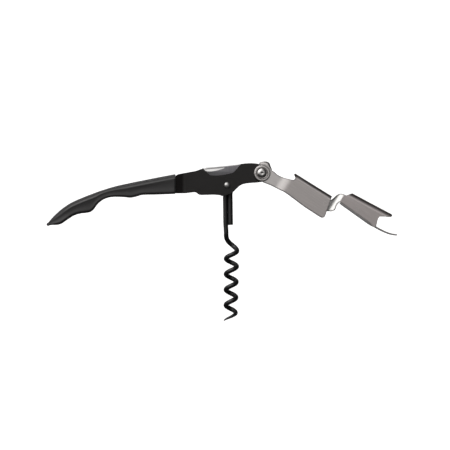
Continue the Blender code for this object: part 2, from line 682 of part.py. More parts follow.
def stage_2_xz(u, v):
    """Lever coordinates sheared so that a channel's web follows the sloping back."""
    return lever_xz(u, v + (u - BACK_START[0]) * BACK_SLOPE)


def lever_stage_2():
    outline = arc(HINGE_UV, 3.5, -60, -270, 14) + STAGE_2_OUTLINE
    body = channel(STAGE_2_WIDTHS, v_top=16.9, bend=2.4, to_xz=stage_2_xz)
    ob = add("lever_stage_2", body, STEEL, stage_pivot)
    boolean(ob, "stage_2_outline", lever_prism(outline), 'INTERSECT')
    boolean(ob, "stage_2_hinge_holes", rod(HINGE_HOLE_R, -THROUGH, THROUGH, HINGE_AXIS, 20))
    boolean(ob, "stage_2_fork_holes", rod(FORK_HOLE_R, -THROUGH, THROUGH, FORK_RIVET_AXIS, 14))


# u, v of the guide fork's middle line: straight part, then curved prongs
FORK_STRAIGHT = [(46.3, 8.8), (52.0, 8.42), (60.0, 7.95), (65.5, 7.6)]
FORK_PRONGS = [(68.4, 7.95), (70.9, 8.05), (74.6, 8.45), (77.9, 9.2), (80.7, 10.4)]
FORK_GAP = [(50.0, 3.0), (90.0, 3.0), (90.0, 16.0), (50.0, 16.0)]
FORK_TAB = [(53.2, 8.2), (56.8, 8.0), (56.8, 11.8), (56.2, 12.4), (53.8, 12.4), (53.2, 11.8)]
FORK_T = 0.8


def guide_fork():
    """Bent strip inside the second stage, with two prongs and two riveted tabs."""
    middle = FORK_STRAIGHT + smooth(FORK_PRONGS, 3)
    upper, lower = [
        [(u + nu * offset, v + nv * offset)
         for (u, v), (nu, nv) in zip(middle, right_normals(middle))]
        for offset in (-FORK_T / 2, FORK_T / 2)]
    ob = add("guide_fork", lever_prism(upper + lower[::-1], -7.6, 7.6), STEEL, stage_pivot)
    boolean(ob, "fork_gap", lever_prism(FORK_GAP, -4.9, 4.9))
    for place, side in SIDES:
        tab = lever_prism(FORK_TAB, *span(side, EAR_IN, EAR_OUT))
        boolean(ob, "fork_tab_" + place, tab, 'UNION')
    boolean(ob, "fork_tab_holes", rod(FORK_HOLE_R, -THROUGH, THROUGH, FORK_RIVET_AXIS, 14))
    for place, side in SIDES:
        bm = rod(FORK_RIVET_R, *span(side, 5.6, 7.62), FORK_RIVET_AXIS, 14)
        add("fork_rivet_" + place, bm, BRIGHT_STEEL, stage_pivot)


lever_stage_1()
hinge_rivets()
lever_stage_2()
guide_fork()
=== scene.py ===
"""A two-stage lever corkscrew, opened, with its foil knife folded into the frame.

The tool lies along X in the plane y = 0: the grip runs to -X, the lever drops away to +X
and the worm hangs down (-Z). The camera looks along +Y, so "near" is -Y and "far" is +Y.
Shapes are drawn in millimetres as (x, z) outlines; make_object moves them to the scene's
metres. Materials work in object space, in metres.
"""
import json
import math
import bpy
import bmesh
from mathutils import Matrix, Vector


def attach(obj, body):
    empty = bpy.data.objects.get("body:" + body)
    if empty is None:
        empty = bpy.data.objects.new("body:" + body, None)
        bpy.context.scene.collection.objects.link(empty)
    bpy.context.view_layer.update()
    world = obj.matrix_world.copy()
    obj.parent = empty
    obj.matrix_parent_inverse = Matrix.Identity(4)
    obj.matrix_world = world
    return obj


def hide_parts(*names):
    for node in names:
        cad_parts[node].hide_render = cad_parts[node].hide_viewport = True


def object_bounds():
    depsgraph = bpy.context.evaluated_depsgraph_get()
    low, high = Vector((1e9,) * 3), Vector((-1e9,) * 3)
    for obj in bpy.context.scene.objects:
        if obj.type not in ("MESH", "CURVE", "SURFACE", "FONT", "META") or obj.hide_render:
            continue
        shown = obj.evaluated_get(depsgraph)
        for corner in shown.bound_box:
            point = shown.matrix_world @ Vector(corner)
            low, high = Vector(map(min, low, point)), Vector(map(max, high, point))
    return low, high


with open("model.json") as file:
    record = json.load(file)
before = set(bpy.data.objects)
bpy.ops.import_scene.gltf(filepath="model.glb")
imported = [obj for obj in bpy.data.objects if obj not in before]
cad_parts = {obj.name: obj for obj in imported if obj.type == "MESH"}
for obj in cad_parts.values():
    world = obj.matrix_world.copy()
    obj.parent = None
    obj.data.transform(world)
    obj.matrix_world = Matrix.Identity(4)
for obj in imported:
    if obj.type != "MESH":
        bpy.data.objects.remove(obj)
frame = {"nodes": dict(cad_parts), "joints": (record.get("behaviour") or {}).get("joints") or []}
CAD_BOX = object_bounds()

MM = 0.001

# ---------------------------------------------------------------------------
# Shared sizes, in the drawing's millimetres
# ---------------------------------------------------------------------------
ORIGIN = (-0.3, -0.152)         # where the scene's origin lies in the drawing
JOINTS = {joint["name"]: joint["pos_m"] for joint in frame["joints"]}


def to_drawing(x, z):
    return (x / MM + ORIGIN[0], z / MM + ORIGIN[1])


def to_metres(point):
    return ((point[0] - ORIGIN[0]) * MM, (point[1] - ORIGIN[1]) * MM)


def joint_axis(name):
    return to_drawing(JOINTS[name][0], JOINTS[name][2])


WORM_AXIS = joint_axis("worm_fold")
LEVER_AXIS = joint_axis("lever_fold")
HINGE_AXIS = joint_axis("stage_hinge")

LEVER_DROP = 31.9               # degrees the lever points below +X
LEVER_COS = math.cos(math.radians(LEVER_DROP))
LEVER_SIN = math.sin(math.radians(LEVER_DROP))


def lever_point(u, v):
    """Lever coordinates to the drawing: u along the lever from its axis, v square to it."""
    return (LEVER_AXIS[0] + u * LEVER_COS + v * LEVER_SIN,
            LEVER_AXIS[1] - u * LEVER_SIN + v * LEVER_COS)


def lever_points(points):
    return [lever_point(u, v) for u, v in points]


FORK_RIVET = lever_point(55.0, 10.6)

# Distances from the middle plane
PLATE_IN, PLATE_OUT = 4.3, 5.5  # frame sides
NECK_OUT, BODY_OUT = 6.9, 7.65  # outer faces of the lever channels
EAR_IN, EAR_OUT = 5.75, 6.65

HINGE_HOLE_R = 1.05
SHEET = 0.9                     # lever sheet thickness

# Grip outlines, (x, z); the frame's tang follows them too
GRIP_TOP = [
    (-96.0, 9.8), (-93.3, 12.9), (-89.7, 16.4), (-86.2, 19.1), (-82.6, 21.3), (-78.2, 23.3),
    (-72.7, 25.5), (-66.1, 27.9), (-58.4, 30.2), (-47.9, 32.5), (-36.9, 34.7), (-26.0, 36.8)]
GRIP_BOTTOM = [
    (-96.0, 8.4), (-93.9, 8.8), (-90.8, 8.9), (-88.6, 9.5), (-86.2, 11.1), (-83.7, 12.8),
    (-81.5, 14.1), (-78.2, 15.1), (-74.9, 15.5), (-72.4, 16.1), (-70.6, 17.6), (-69.1, 19.8),
    (-66.9, 21.9), (-64.7, 23.2), (-61.7, 24.1), (-58.1, 24.3), (-54.0, 24.1), (-50.7, 23.8),
    (-48.5, 24.1), (-46.3, 24.7), (-44.1, 25.3), (-36.9, 25.5), (-26.0, 25.9)]


# ---------------------------------------------------------------------------
# Curves
# ---------------------------------------------------------------------------
def smooth(points, per, closed=False):
    """Catmull-Rom curve through (x, z) points, per steps to each span."""
    count = len(points)
    out = []
    for i in range(count if closed else count - 1):
        p = [points[(i + k) % count] if closed else points[min(max(i + k, 0), count - 1)]
             for k in (-1, 0, 1, 2)]
        for step in range(per):
            t = step / per
            out.append(tuple(
                0.5 * (2 * p[1][a] + (p[2][a] - p[0][a]) * t
                       + (2 * p[0][a] - 5 * p[1][a] + 4 * p[2][a] - p[3][a]) * t * t
                       + (3 * p[1][a] - p[0][a] - 3 * p[2][a] + p[3][a]) * t ** 3)
                for a in (0, 1)))
    if not closed:
        out.append(points[-1])
    return out


def value_at(table, x):
    """Smooth value at x of a table of (x, value), held level past its ends."""
    pts = sorted(table)
    if x <= pts[0][0]:
        return pts[0][1]
    if x >= pts[-1][0]:
        return pts[-1][1]
    i = next(k for k in range(len(pts) - 1) if pts[k][0] <= x <= pts[k + 1][0])
    (x0, z0), (x1, z1) = pts[i], pts[i + 1]
    t = (x - x0) / (x1 - x0)
    before = pts[i - 1] if i > 0 else (2 * x0 - x1, 2 * z0 - z1)
    after = pts[i + 2] if i + 2 < len(pts) else (2 * x1 - x0, 2 * z1 - z0)
    slope0 = (z1 - before[1]) / (x1 - before[0]) * (x1 - x0)
    slope1 = (after[1] - z0) / (after[0] - x0) * (x1 - x0)
    ease = t * t * (3 - 2 * t)
    return (z0 + (z1 - z0) * ease + (t ** 3 - 2 * t * t + t) * slope0
            + (t ** 3 - t * t) * slope1)


def arc(cx, cz, r, start, end, steps):
    """Points round (cx, cz), from one angle to another in degrees."""
    angles = [math.radians(start + (end - start) * k / steps) for k in range(steps + 1)]
    return [(cx + r * math.cos(a), cz + r * math.sin(a)) for a in angles]


def direction(a, b):
    return Vector((b[0] - a[0], b[1] - a[1])).normalized()


def span(side, inner, outer):
    """Y range between two distances from the middle plane; side is -1 near, 1 far."""
    return sorted((side * inner, side * outer))


# ---------------------------------------------------------------------------
# Meshes
# ---------------------------------------------------------------------------
def new_loops(rings):
    mesh = bmesh.new()
    return mesh, [[mesh.verts.new(point) for point in ring] for ring in rings]


def skin(mesh, loops, around_first=True):
    """Join each loop to the next; a loop of one vertex is a pole."""
    for a, b in zip(loops, loops[1:]):
        count = max(len(a), len(b))
        for k in range(count):
            m = (k + 1) % count
            if len(a) == 1:
                face = (a[0], b[k], b[m])
            elif len(b) == 1:
                face = (a[k], b[0], a[m])
            elif around_first:
                face = (a[k], a[m], b[m], b[k])
            else:
                face = (a[k], b[k], b[m], a[m])
            mesh.faces.new(face)


def slab(outline_a, outline_b):
    """Solid between two matching outlines of (x, y, z)."""
    mesh, (a, b) = new_loops((outline_a, outline_b))
    mesh.faces.new(a)
    mesh.faces.new(b[::-1])
    for i in range(len(a)):
        j = (i + 1) % len(a)
        mesh.faces.new((a[j], a[i], b[i], b[j]))
    return mesh


def prism(points, y0, y1):
    return slab([(x, y0, z) for x, z in points], [(x, y1, z) for x, z in points])


def turned(profile, axis, seg):
    """Profile of (radius, y) turned about an axis along Y; it starts and ends at radius 0."""
    cx, cz = axis
    turns = [2 * math.pi * k / seg for k in range(seg)]
    mesh, loops = new_loops([
        [(cx + r * math.cos(a), y, cz + r * math.sin(a)) for a in (turns if r else turns[:1])]
        for r, y in profile])
    skin(mesh, loops, around_first=False)
    return mesh


def shade(data, sharp):
    data.shade_smooth()
    data.set_sharp_from_angle(angle=math.radians(sharp))


def make_object(name, mesh, material=None, sharp=30):
    """Turn a mesh in drawing millimetres into an object in metres."""
    bmesh.ops.remove_doubles(mesh, verts=mesh.verts, dist=0.0004)
    bmesh.ops.recalc_face_normals(mesh, faces=mesh.faces)
    bmesh.ops.translate(mesh, vec=(-ORIGIN[0], 0.0, -ORIGIN[1]), verts=mesh.verts)
    bmesh.ops.scale(mesh, vec=(MM, MM, MM), verts=mesh.verts)
    data = bpy.data.meshes.new(name)
    mesh.to_mesh(data)
    mesh.free()
    ob = bpy.data.objects.new(name, data)
    bpy.context.scene.collection.objects.link(ob)
    if material:
        data.materials.append(material)
    shade(data, sharp)
    return ob


def apply_modifiers(ob):
    depsgraph = bpy.context.evaluated_depsgraph_get()
    depsgraph.update()
    data = bpy.data.meshes.new_from_object(ob.evaluated_get(depsgraph),
                                           preserve_all_data_layers=True, depsgraph=depsgraph)
    ob.modifiers.clear()
    old = ob.data
    name = old.name
    ob.data = data
    bpy.data.meshes.remove(old)
    data.name = name


def boolean(ob, mesh, operation='DIFFERENCE'):
    """Boolean with a throwaway tool, applied at once."""
    tool = make_object("tool", mesh)
    modifier = ob.modifiers.new("b", 'BOOLEAN')
    modifier.object, modifier.operation, modifier.solver = tool, operation, 'EXACT'
    apply_modifiers(ob)
    bpy.data.objects.remove(tool, do_unlink=True)


def drill(ob, radius, axis, seg, y0=-12, y1=12):
    boolean(ob, turned([(0, y0), (radius, y0), (radius, y1), (0, y1)], axis, seg))


def weight_normals(ob, weight):
    modifier = ob.modifiers.new("normals", 'WEIGHTED_NORMAL')
    modifier.keep_sharp = True
    modifier.weight = weight
    apply_modifiers(ob)


def finish_edges(ob, width, segments, angle=28):
    """Dissolve flat seams, then round every edge crisper than the angle."""
    mesh = bmesh.new()
    mesh.from_mesh(ob.data)
    bmesh.ops.remove_doubles(mesh, verts=mesh.verts, dist=2e-6)
    bmesh.ops.dissolve_degenerate(mesh, edges=mesh.edges, dist=2e-6)
    bmesh.ops.dissolve_limit(mesh, angle_limit=math.radians(0.6), verts=mesh.verts,
                             edges=mesh.edges, delimit={'MATERIAL'})
    mesh.to_mesh(ob.data)
    mesh.free()
    bevel = ob.modifiers.new("edge", 'BEVEL')
    bevel.width, bevel.segments = width * MM, segments
    bevel.limit_method, bevel.angle_limit = 'ANGLE', math.radians(angle)
    bevel.use_clamp_overlap = True
    bevel.miter_outer = 'MITER_ARC'
    bevel.harden_normals = False
    apply_modifiers(ob)
    shade(ob.data, sharp=35)
    weight_normals(ob, weight=60)


# ---------------------------------------------------------------------------
# Shader node helpers
# ---------------------------------------------------------------------------
class Tree:
    """Shorthand for a node tree; inputs may be sockets or plain values."""

    def __init__(self, tree):
        self.tree = tree

    def new(self, kind, **settings):
        node = self.tree.nodes.new(kind)
        for key, value in settings.items():
            setattr(node, key, value)
        return node

    def put(self, socket, value):
        if isinstance(value, bpy.types.NodeSocket):
            self.tree.links.new(value, socket)
        else:
            socket.default_value = value

    def math(self, operation, a, b, clamp=False):
        node = self.new("ShaderNodeMath", operation=operation, use_clamp=clamp)
        self.put(node.inputs[0], a)
        self.put(node.inputs[1], b)
        return node.outputs[0]

    def plus(self, a, b):
        return self.math('ADD', a, b)

    def minus(self, a, b):
        return self.math('SUBTRACT', a, b)

    def times(self, a, b):
        return self.math('MULTIPLY', a, b)

    def split(self, vector):
        node = self.new("ShaderNodeSeparateXYZ")
        self.put(node.inputs[0], vector)
        return node.outputs

    def mix_shader(self, factor, a, b):
        node = self.new("ShaderNodeMixShader")
        for socket, value in zip(node.inputs, (factor, a, b)):
            self.put(socket, value)
        return node.outputs[0]


class Material(Tree):
    def __init__(self, name):
        self.mat = bpy.data.materials.new(name)
        self.mat.use_nodes = True
        super().__init__(self.mat.node_tree)
        self.shader = self.tree.nodes["Principled BSDF"]
        self.coords = self.new("ShaderNodeTexCoord").outputs["Object"]

    def set(self, name, value):
        self.put(self.shader.inputs[name], value)

    def noise(self, stretch, detail, rough, distort=0.0, turn=(0, 0, 0)):
        """Noise in object space, turned first and then stretched (features per metre)."""
        turned_node = self.new("ShaderNodeMapping")
        turned_node.inputs["Rotation"].default_value = turn
        self.put(turned_node.inputs["Vector"], self.coords)
        scaled = self.new("ShaderNodeMapping")
        scaled.inputs["Scale"].default_value = (
            stretch if isinstance(stretch, tuple) else (stretch,) * 3)
        self.put(scaled.inputs["Vector"], turned_node.outputs[0])
        node = self.new("ShaderNodeTexNoise")
        node.inputs["Scale"].default_value = 1.0
        node.inputs["Detail"].default_value = detail
        node.inputs["Roughness"].default_value = rough
        node.inputs["Distortion"].default_value = distort
        self.put(node.inputs["Vector"], scaled.outputs[0])
        return node.outputs["Fac"]

    def ramp(self, value, over, to=(0.0, 1.0)):
        node = self.new("ShaderNodeMapRange")
        for key, number in zip(("From Min", "From Max", "To Min", "To Max"), (*over, *to)):
            node.inputs[key].default_value = number
        self.put(node.inputs["Value"], value)
        return node.outputs["Result"]

    def mix(self, factor, a, b):
        node = self.new("ShaderNodeMix", data_type='RGBA')
        self.put(node.inputs["Factor"], factor)
        for index, colour in ((6, a), (7, b)):          # the colour sockets A and B
            self.put(node.inputs[index], (*colour, 1) if isinstance(colour, tuple) else colour)
        return node.outputs[2]

    def edge(self, radius, soft=0.995, full=0.86):
        """0 on flats, 1 along edges; soft and full are cosines of the normal's turn."""
        bevel = self.new("ShaderNodeBevel", samples=6)
        bevel.inputs["Radius"].default_value = radius
        geometry = self.new("ShaderNodeNewGeometry")
        dot = self.new("ShaderNodeVectorMath", operation='DOT_PRODUCT')
        self.put(dot.inputs[0], bevel.outputs[0])
        self.put(dot.inputs[1], geometry.outputs["Normal"])
        return self.ramp(dot.outputs["Value"], over=(soft, full))

    def bump(self, height, strength, distance):
        node = self.new("ShaderNodeBump")
        node.inputs["Strength"].default_value = strength
        node.inputs["Distance"].default_value = distance
        self.put(node.inputs["Height"], height)
        self.set("Normal", node.outputs[0])

    def along_lever(self):
        """Distance down the lever from its axis, in metres."""
        xyz = self.split(self.coords)
        x0, z0 = to_metres(LEVER_AXIS)
        return self.minus(self.times(self.minus(xyz[0], x0), LEVER_COS),
                          self.times(self.minus(xyz[2], z0), LEVER_SIN))


def tint(colour, factor, lift=0.0):
    return tuple(c * factor + lift for c in colour)


# ---------------------------------------------------------------------------
# Material families
# ---------------------------------------------------------------------------
def painted_edge_shade(n, colour, radius):
    """Painted shade: a dark line painted along the sheet's edges, where their rounding would
    reflect dark surroundings; left out round the flush rivets.
    """
    xyz = n.split(n.coords)
    painted_dark_line = n.times(n.edge(radius, soft=0.9985, full=0.95), 0.85)
    for rivet in (HINGE_AXIS, FORK_RIVET):
        x0, z0 = to_metres(rivet)
        dx = n.minus(xyz[0], x0)
        dz = n.minus(xyz[2], z0)
        distance_squared = n.plus(n.times(dx, dx), n.times(dz, dz))
        painted_dark_line = n.times(painted_dark_line, n.ramp(distance_squared, over=(0.0016 ** 2, 0.0021 ** 2)))
    return n.mix(painted_dark_line, colour, (0.08, 0.076, 0.072))


def brushed(name, angle, base, dark, rough, grain=1.0, aniso=0.45, tone=None, rim=None):
    """Satin sheet: long fine scratches at an angle below +X, faint stains, bright worn edges; tone
    paints local highlights by position, and rim is the width of a painted dark edge line (painted
    shade).
    """
    n = Material(name)
    turn = (0.0, math.radians(-angle), 0.0)
    fine = n.noise(stretch=(140, 5200, 5200), detail=4.0, rough=0.7, turn=turn)
    medium = n.noise(stretch=(45, 1500, 1500), detail=3.0, rough=0.6, turn=turn)
    cloud = n.noise(stretch=90, detail=3.0, rough=0.6, distort=0.4)
    speck = n.noise(stretch=2600, detail=2.0, rough=0.5)
    scratches = n.plus(n.times(fine, 0.6), n.times(medium, 0.4))
    colour = n.mix(n.ramp(scratches, over=(0.36, 0.66)), dark, base)
    colour = n.mix(n.ramp(cloud, over=(0.45, 0.85), to=(0.0, 0.35)), colour, tint(base, 0.86))
    colour = n.mix(n.ramp(speck, over=(0.68, 0.80), to=(0.0, 0.30)), colour, tint(dark, 0.55))
    wear = n.edge(0.00022)
    colour = n.mix(n.times(wear, 0.45), colour, (0.86, 0.85, 0.84))
    # tone paints highlights by position; rim paints a dark line along the edges (painted shade)
    if tone:
        colour = tone(n, colour)
    if rim:
        colour = painted_edge_shade(n, colour, rim)
    n.set("Base Color", colour)
    n.set("Metallic", 1.0)
    roughness = n.plus(n.ramp(scratches, over=(0.3, 0.7), to=(rough + 0.09, rough - 0.05)),
                       n.ramp(cloud, over=(0.3, 0.8), to=(-0.03, 0.06)))
    n.set("Roughness", n.minus(roughness, n.times(wear, 0.08)))
    n.set("Anisotropic", aniso)
    n.bump(scratches, strength=0.35 * grain, distance=0.000012)
    tangent = n.new("ShaderNodeCombineXYZ")
    tangent.inputs[0].default_value = math.cos(math.radians(angle))
    tangent.inputs[2].default_value = -math.sin(math.radians(angle))
    n.set("Tangent", tangent.outputs[0])
    return n.mat


def polished(name, base, rough):
    """Tumbled rivet steel: bright, with fine handling scratches."""
    n = Material(name)
    scratches = n.noise(stretch=(900, 9000, 2500), detail=3.0, rough=0.6, turn=(0.4, 0.9, 0.2))
    cloud = n.noise(stretch=700, detail=4.0, rough=0.6)
    n.set("Base Color", n.mix(n.ramp(cloud, over=(0.35, 0.75), to=(0.0, 0.5)),
                              base, tint(base, 0.78)))
    n.set("Metallic", 1.0)
    n.set("Roughness", n.ramp(cloud, over=(0.3, 0.8), to=(rough - 0.03, rough + 0.16)))
    n.bump(scratches, strength=0.25, distance=0.000008)
    return n.mat


def coated(name, base, rough, worn, wear, coat=0.0, grain=1600, bump=0.2, painted_shade_band=None):
    """Black coating on steel: faint orange peel and a little wear on the edges.

    The shade band is the x range, in metres, of a strip with painted shade: its colour is
    darkened, and it is made duller."""
    n = Material(name)
    peel = n.noise(stretch=grain, detail=2.0, rough=0.5)
    cloud = n.noise(stretch=60, detail=4.0, rough=0.65, distort=0.3)
    streak = n.noise(stretch=(120, 2600, 2600), detail=3.0, rough=0.6,
                     turn=(0, math.radians(9), 0))
    patch = n.noise(stretch=1100, detail=3.0, rough=0.65)
    colour = n.mix(n.ramp(cloud, over=(0.35, 0.75)), base, tint(base, 1.45, lift=0.002))
    edge = n.times(n.edge(0.00025), n.ramp(patch, over=(0.42, 0.62), to=(0.15, 1.0)))
    colour = n.mix(n.times(edge, wear), colour, worn)
    if painted_shade_band:
        x = n.split(n.coords)[0]
        start, end = painted_shade_band
        band_shade = n.times(n.ramp(x, over=(start, start + 0.0003)),
                         n.ramp(x, over=(end - 0.0012, end), to=(1.0, 0.0)))
        # painted shade: the strip of frame beside the grip is darkened in colour
        colour = n.mix(n.times(band_shade, 0.72), colour, (0.003, 0.002, 0.002))
        n.set("Specular IOR Level", n.ramp(band_shade, over=(0.0, 1.0), to=(0.5, 0.16)))
    n.set("Base Color", colour)
    n.set("Metallic", 0.35)
    n.set("Roughness", n.plus(
        n.ramp(cloud, over=(0.3, 0.75), to=(rough - 0.05, rough + 0.07)),
        n.ramp(streak, over=(0.4, 0.7), to=(-0.03, 0.04))))
    n.set("Coat Weight", coat)
    n.set("Coat Roughness", 0.25)
    n.bump(peel, strength=bump, distance=0.00002)
    return n.mat


def soft_plastic(name, base, rough):
    """Moulded soft-touch plastic: spark-eroded grain, rubbed streaks and paler edges."""
    n = Material(name)
    cells = n.new("ShaderNodeTexVoronoi")
    cells.inputs["Scale"].default_value = 3600
    n.put(cells.inputs["Vector"], n.coords)
    grain = n.noise(stretch=5200, detail=3.0, rough=0.6)
    cloud = n.noise(stretch=(70, 110, 70), detail=4.0, rough=0.6, distort=0.2)
    rub = n.noise(stretch=(90, 1500, 1500), detail=3.0, rough=0.6,
                  turn=(0, math.radians(14), 0))
    colour = n.mix(n.ramp(cloud, over=(0.35, 0.7)), base, tint(base, 1.28))
    colour = n.mix(n.ramp(rub, over=(0.58, 0.72), to=(0.0, 0.35)), colour, tint(base, 1.7))
    colour = n.mix(n.times(n.edge(0.0004), 0.35), colour, tint(base, 2.6))
    n.set("Base Color", colour)
    n.set("Metallic", 0.0)
    n.set("IOR", 1.52)
    n.set("Roughness", n.plus(
        n.ramp(cloud, over=(0.3, 0.75), to=(rough - 0.05, rough + 0.06)),
        n.ramp(rub, over=(0.5, 0.75), to=(0.0, -0.06))))
    height = n.plus(n.times(cells.outputs["Distance"], 0.7), n.times(grain, 0.6))
    n.bump(height, strength=0.30, distance=0.00003)
    return n.mat


# Painted highlights and shade, given to brushed(); positions are in metres
def painted_neck_highlight(n, colour):
    """Painted highlight: the neck is painted brighter than the flat body of the first stage."""
    neck_highlight = n.ramp(n.along_lever(), over=(0.0125, 0.0158), to=(1.0, 0.0))
    return n.mix(neck_highlight, colour, n.mix(0.62, colour, (0.82, 0.79, 0.775)))


def painted_ear_highlight(n, colour):
    """Painted highlight: the formed step beside the ears is painted lighter and greyer, with a
    line of painted shade round it.
    """
    ear_highlight = n.ramp(n.along_lever(), over=(0.0443, 0.0449), to=(1.0, 0.0))
    colour = n.mix(ear_highlight, colour, n.mix(0.75, colour, (0.66, 0.665, 0.65)))
    painted_dark_line = n.times(ear_highlight, n.edge(0.0013, soft=0.999, full=0.965))
    return n.mix(painted_dark_line, colour, (0.055, 0.055, 0.05))


def painted_nick_highlight(n, colour):
    """Painted highlight: the nail nick's floor is painted brighter than the blade, which pales
    towards -X.
    """
    x, y, z = n.split(n.coords)
    nick = n.times(n.ramp(y, over=(-0.000535, -0.00050)), n.ramp(z, over=(0.0380, 0.0383)))
    nick = n.times(nick, n.ramp(y, over=(-0.00010, 0.0), to=(1.0, 0.0)))
    left = n.ramp(x, over=(-0.0075, 0.0035), to=(1.0, 0.0))
    colour = n.mix(n.times(left, 0.35), colour, (0.46, 0.455, 0.455))
    return n.mix(nick, colour, (0.93, 0.92, 0.91))


# ---------------------------------------------------------------------------
# Materials
# ---------------------------------------------------------------------------
GRIP_PLASTIC = soft_plastic("grip_plastic", base=(0.031, 0.030, 0.0305), rough=0.40)
# the darker band: painted shade on the strip of frame beside the grip
FRAME_BLACK = coated("frame_black", base=(0.016, 0.0145, 0.014), rough=0.50,
                     worn=(0.16, 0.15, 0.14), wear=0.22, grain=1500, bump=0.18,
                     painted_shade_band=(-0.0252, -0.0205))
WORM_BLACK = coated("worm_black", base=(0.017, 0.017, 0.018), rough=0.37,
                    worn=(0.10, 0.10, 0.10), wear=0.10, coat=0.35, grain=1900, bump=0.10)
PEG_BLACK = coated("peg_black", base=(0.005, 0.005, 0.005), rough=0.55,
                   worn=(0.03, 0.03, 0.03), wear=0.1)
INNER_BLACK = coated("inner_black", base=(0.016, 0.016, 0.016), rough=0.5,
                     worn=(0.2, 0.2, 0.2), wear=0.3)
# tone: painted highlights on the neck and on the ear step; rim: painted dark edge lines (painted
# shade)
STAGE_1_STEEL = brushed("lever_steel_1", LEVER_DROP, base=(0.60, 0.56, 0.545),
                        dark=(0.50, 0.465, 0.455), rough=0.36, tone=painted_neck_highlight, rim=0.0010)
STAGE_2_STEEL = brushed("lever_steel_2", LEVER_DROP - 2, base=(0.58, 0.53, 0.52),
                        dark=(0.48, 0.44, 0.43), rough=0.37, tone=painted_ear_highlight, rim=0.0005)
FORK_STEEL = brushed("fork_steel", LEVER_DROP, base=(0.40, 0.385, 0.38),
                     dark=(0.30, 0.29, 0.285), rough=0.34)
RIVET_STEEL = polished("rivet_steel", base=(0.60, 0.585, 0.575), rough=0.25)
PIN_STEEL = polished("pin_steel", base=(0.62, 0.61, 0.60), rough=0.36)
# tone: painted highlight on the nail nick's floor
BLADE_STEEL = brushed("blade_steel", 86.0, base=(0.34, 0.33, 0.35),
                      dark=(0.25, 0.245, 0.265), rough=0.30, grain=0.8, aniso=0.3,
                      tone=painted_nick_highlight)
SPRING_STEEL = brushed("spring_steel", -4.0, base=(0.42, 0.40, 0.38),
                       dark=(0.30, 0.28, 0.27), rough=0.32)


# ---------------------------------------------------------------------------
# Grip
# ---------------------------------------------------------------------------
GRIP_TAIL, GRIP_FRONT = -96.0, -25.65
GRIP_HALF = 6.5
TAPER_START = -84.0             # the grip narrows from here to the tail
FULL_HEIGHT = 8.0               # sections lower than this have a shallower relief
FRONT_RIM, FRONT_RIM_LENGTH = 0.35, 0.5
SHOULDER_Y, SHOULDER_DROP = 0.525, 0.74
# Crown and the groove beside it: (share of the half width, drop below the top)
CROWN = [(0, 0), (0.14, 0.01), (0.26, 0.04), (0.34, 0.11), (0.395, 0.22), (0.435, 0.38),
         (0.46, 0.58), (0.478, 0.76), (0.492, 0.83), (0.508, 0.83), (0.52, 0.77)]


def grip_section(x):
    top, bottom = value_at(GRIP_TOP, x), value_at(GRIP_BOTTOM, x)
    w = GRIP_HALF * (1 - 0.62 * max(0.0, (TAPER_START - x) / (TAPER_START - GRIP_TAIL)) ** 1.7)
    lead = min(1.0, max(0.0, (GRIP_FRONT - x) / FRONT_RIM_LENGTH))
    rim = FRONT_RIM * (1 - math.sqrt(max(0.0, 1 - (1 - lead) ** 2)))
    w, top, bottom = w - rim, top - rim, bottom + rim
    height = top - bottom
    relief = min(1.0, height / FULL_HEIGHT)
    ridge = min(2.5, 0.34 * height)                     # drop from the top to the side ridge
    corner = min(1.3, 0.18 * height)                    # lower corner radius

    half = [(share * w, top - drop * relief) for share, drop in CROWN]
    start_y, start_drop = SHOULDER_Y * w, SHOULDER_DROP * relief
    for s in (0.04, 0.16, 0.3, 0.44, 0.58, 0.7, 0.8, 0.9):
        half.append((start_y + (w - 0.10 - start_y) * s,
                     top - start_drop - (ridge - 0.25 - start_drop) * s ** 2.5))
    half += [(w - out, top - ridge + rise) for out, rise in ((0.12, 0.22), (0.03, 0.02))]
    wall_top, wall_foot = top - ridge - 0.22, bottom + corner
    half.append((w, wall_top))
    for s in (0.12, 0.3, 0.5, 0.7, 0.88):               # slightly hollow wall
        half.append((w - 0.20 * math.sin(math.pi * s) * relief,
                     wall_top + (wall_foot - wall_top) * s))
    half.append((w, wall_foot))
    half += arc(w - corner, wall_foot, corner, 0, -90, 5)[1:]
    half += [((w - corner) * 0.5, bottom), (0.0, bottom)]
    return [(x, y, z) for y, z in half + [(-y, z) for y, z in reversed(half[1:-1])]]


def build_grip():
    steps = 110
    sections = []
    for k in range(steps + 1):
        t = k / steps
        eased = t * 0.72 + 0.28 * t * t * (3 - 2 * t)
        sections.append(grip_section(GRIP_TAIL + (GRIP_FRONT - GRIP_TAIL) * eased))
    mesh, loops = new_loops(sections)
    skin(mesh, loops, around_first=False)
    mesh.faces.new(loops[0])
    mesh.faces.new(loops[-1][::-1])
    ob = make_object("grip_cover", mesh, GRIP_PLASTIC, sharp=40)

    # pocket for the tangs, open below and at the front
    front_roof = [(x, value_at(GRIP_TOP, x) - 1.68) for x in (-57.4, -52, -46, -40, -34, -28, -20)]
    boolean(ob, prism(front_roof + [(-20, 0), (-57.4, 0)], -5.6, 5.6))
    # narrower pocket behind it, under a sloping roof
    slope = math.tan(math.radians(6.5))
    rear_roof = [(x, min(value_at(GRIP_TOP, x) - 1.2,
                         WORM_AXIS[1] - (WORM_AXIS[0] - x) * slope + 3.15))
                 for x in (-72.6, -70, -66, -62, -57)]
    boolean(ob, prism(rear_roof + [(-57, 0), (-71.0, 0), (-72.6, 14)], -4.65, 4.65))
    shade(ob.data, sharp=38)
    weight_normals(ob, weight=50)
    return ob


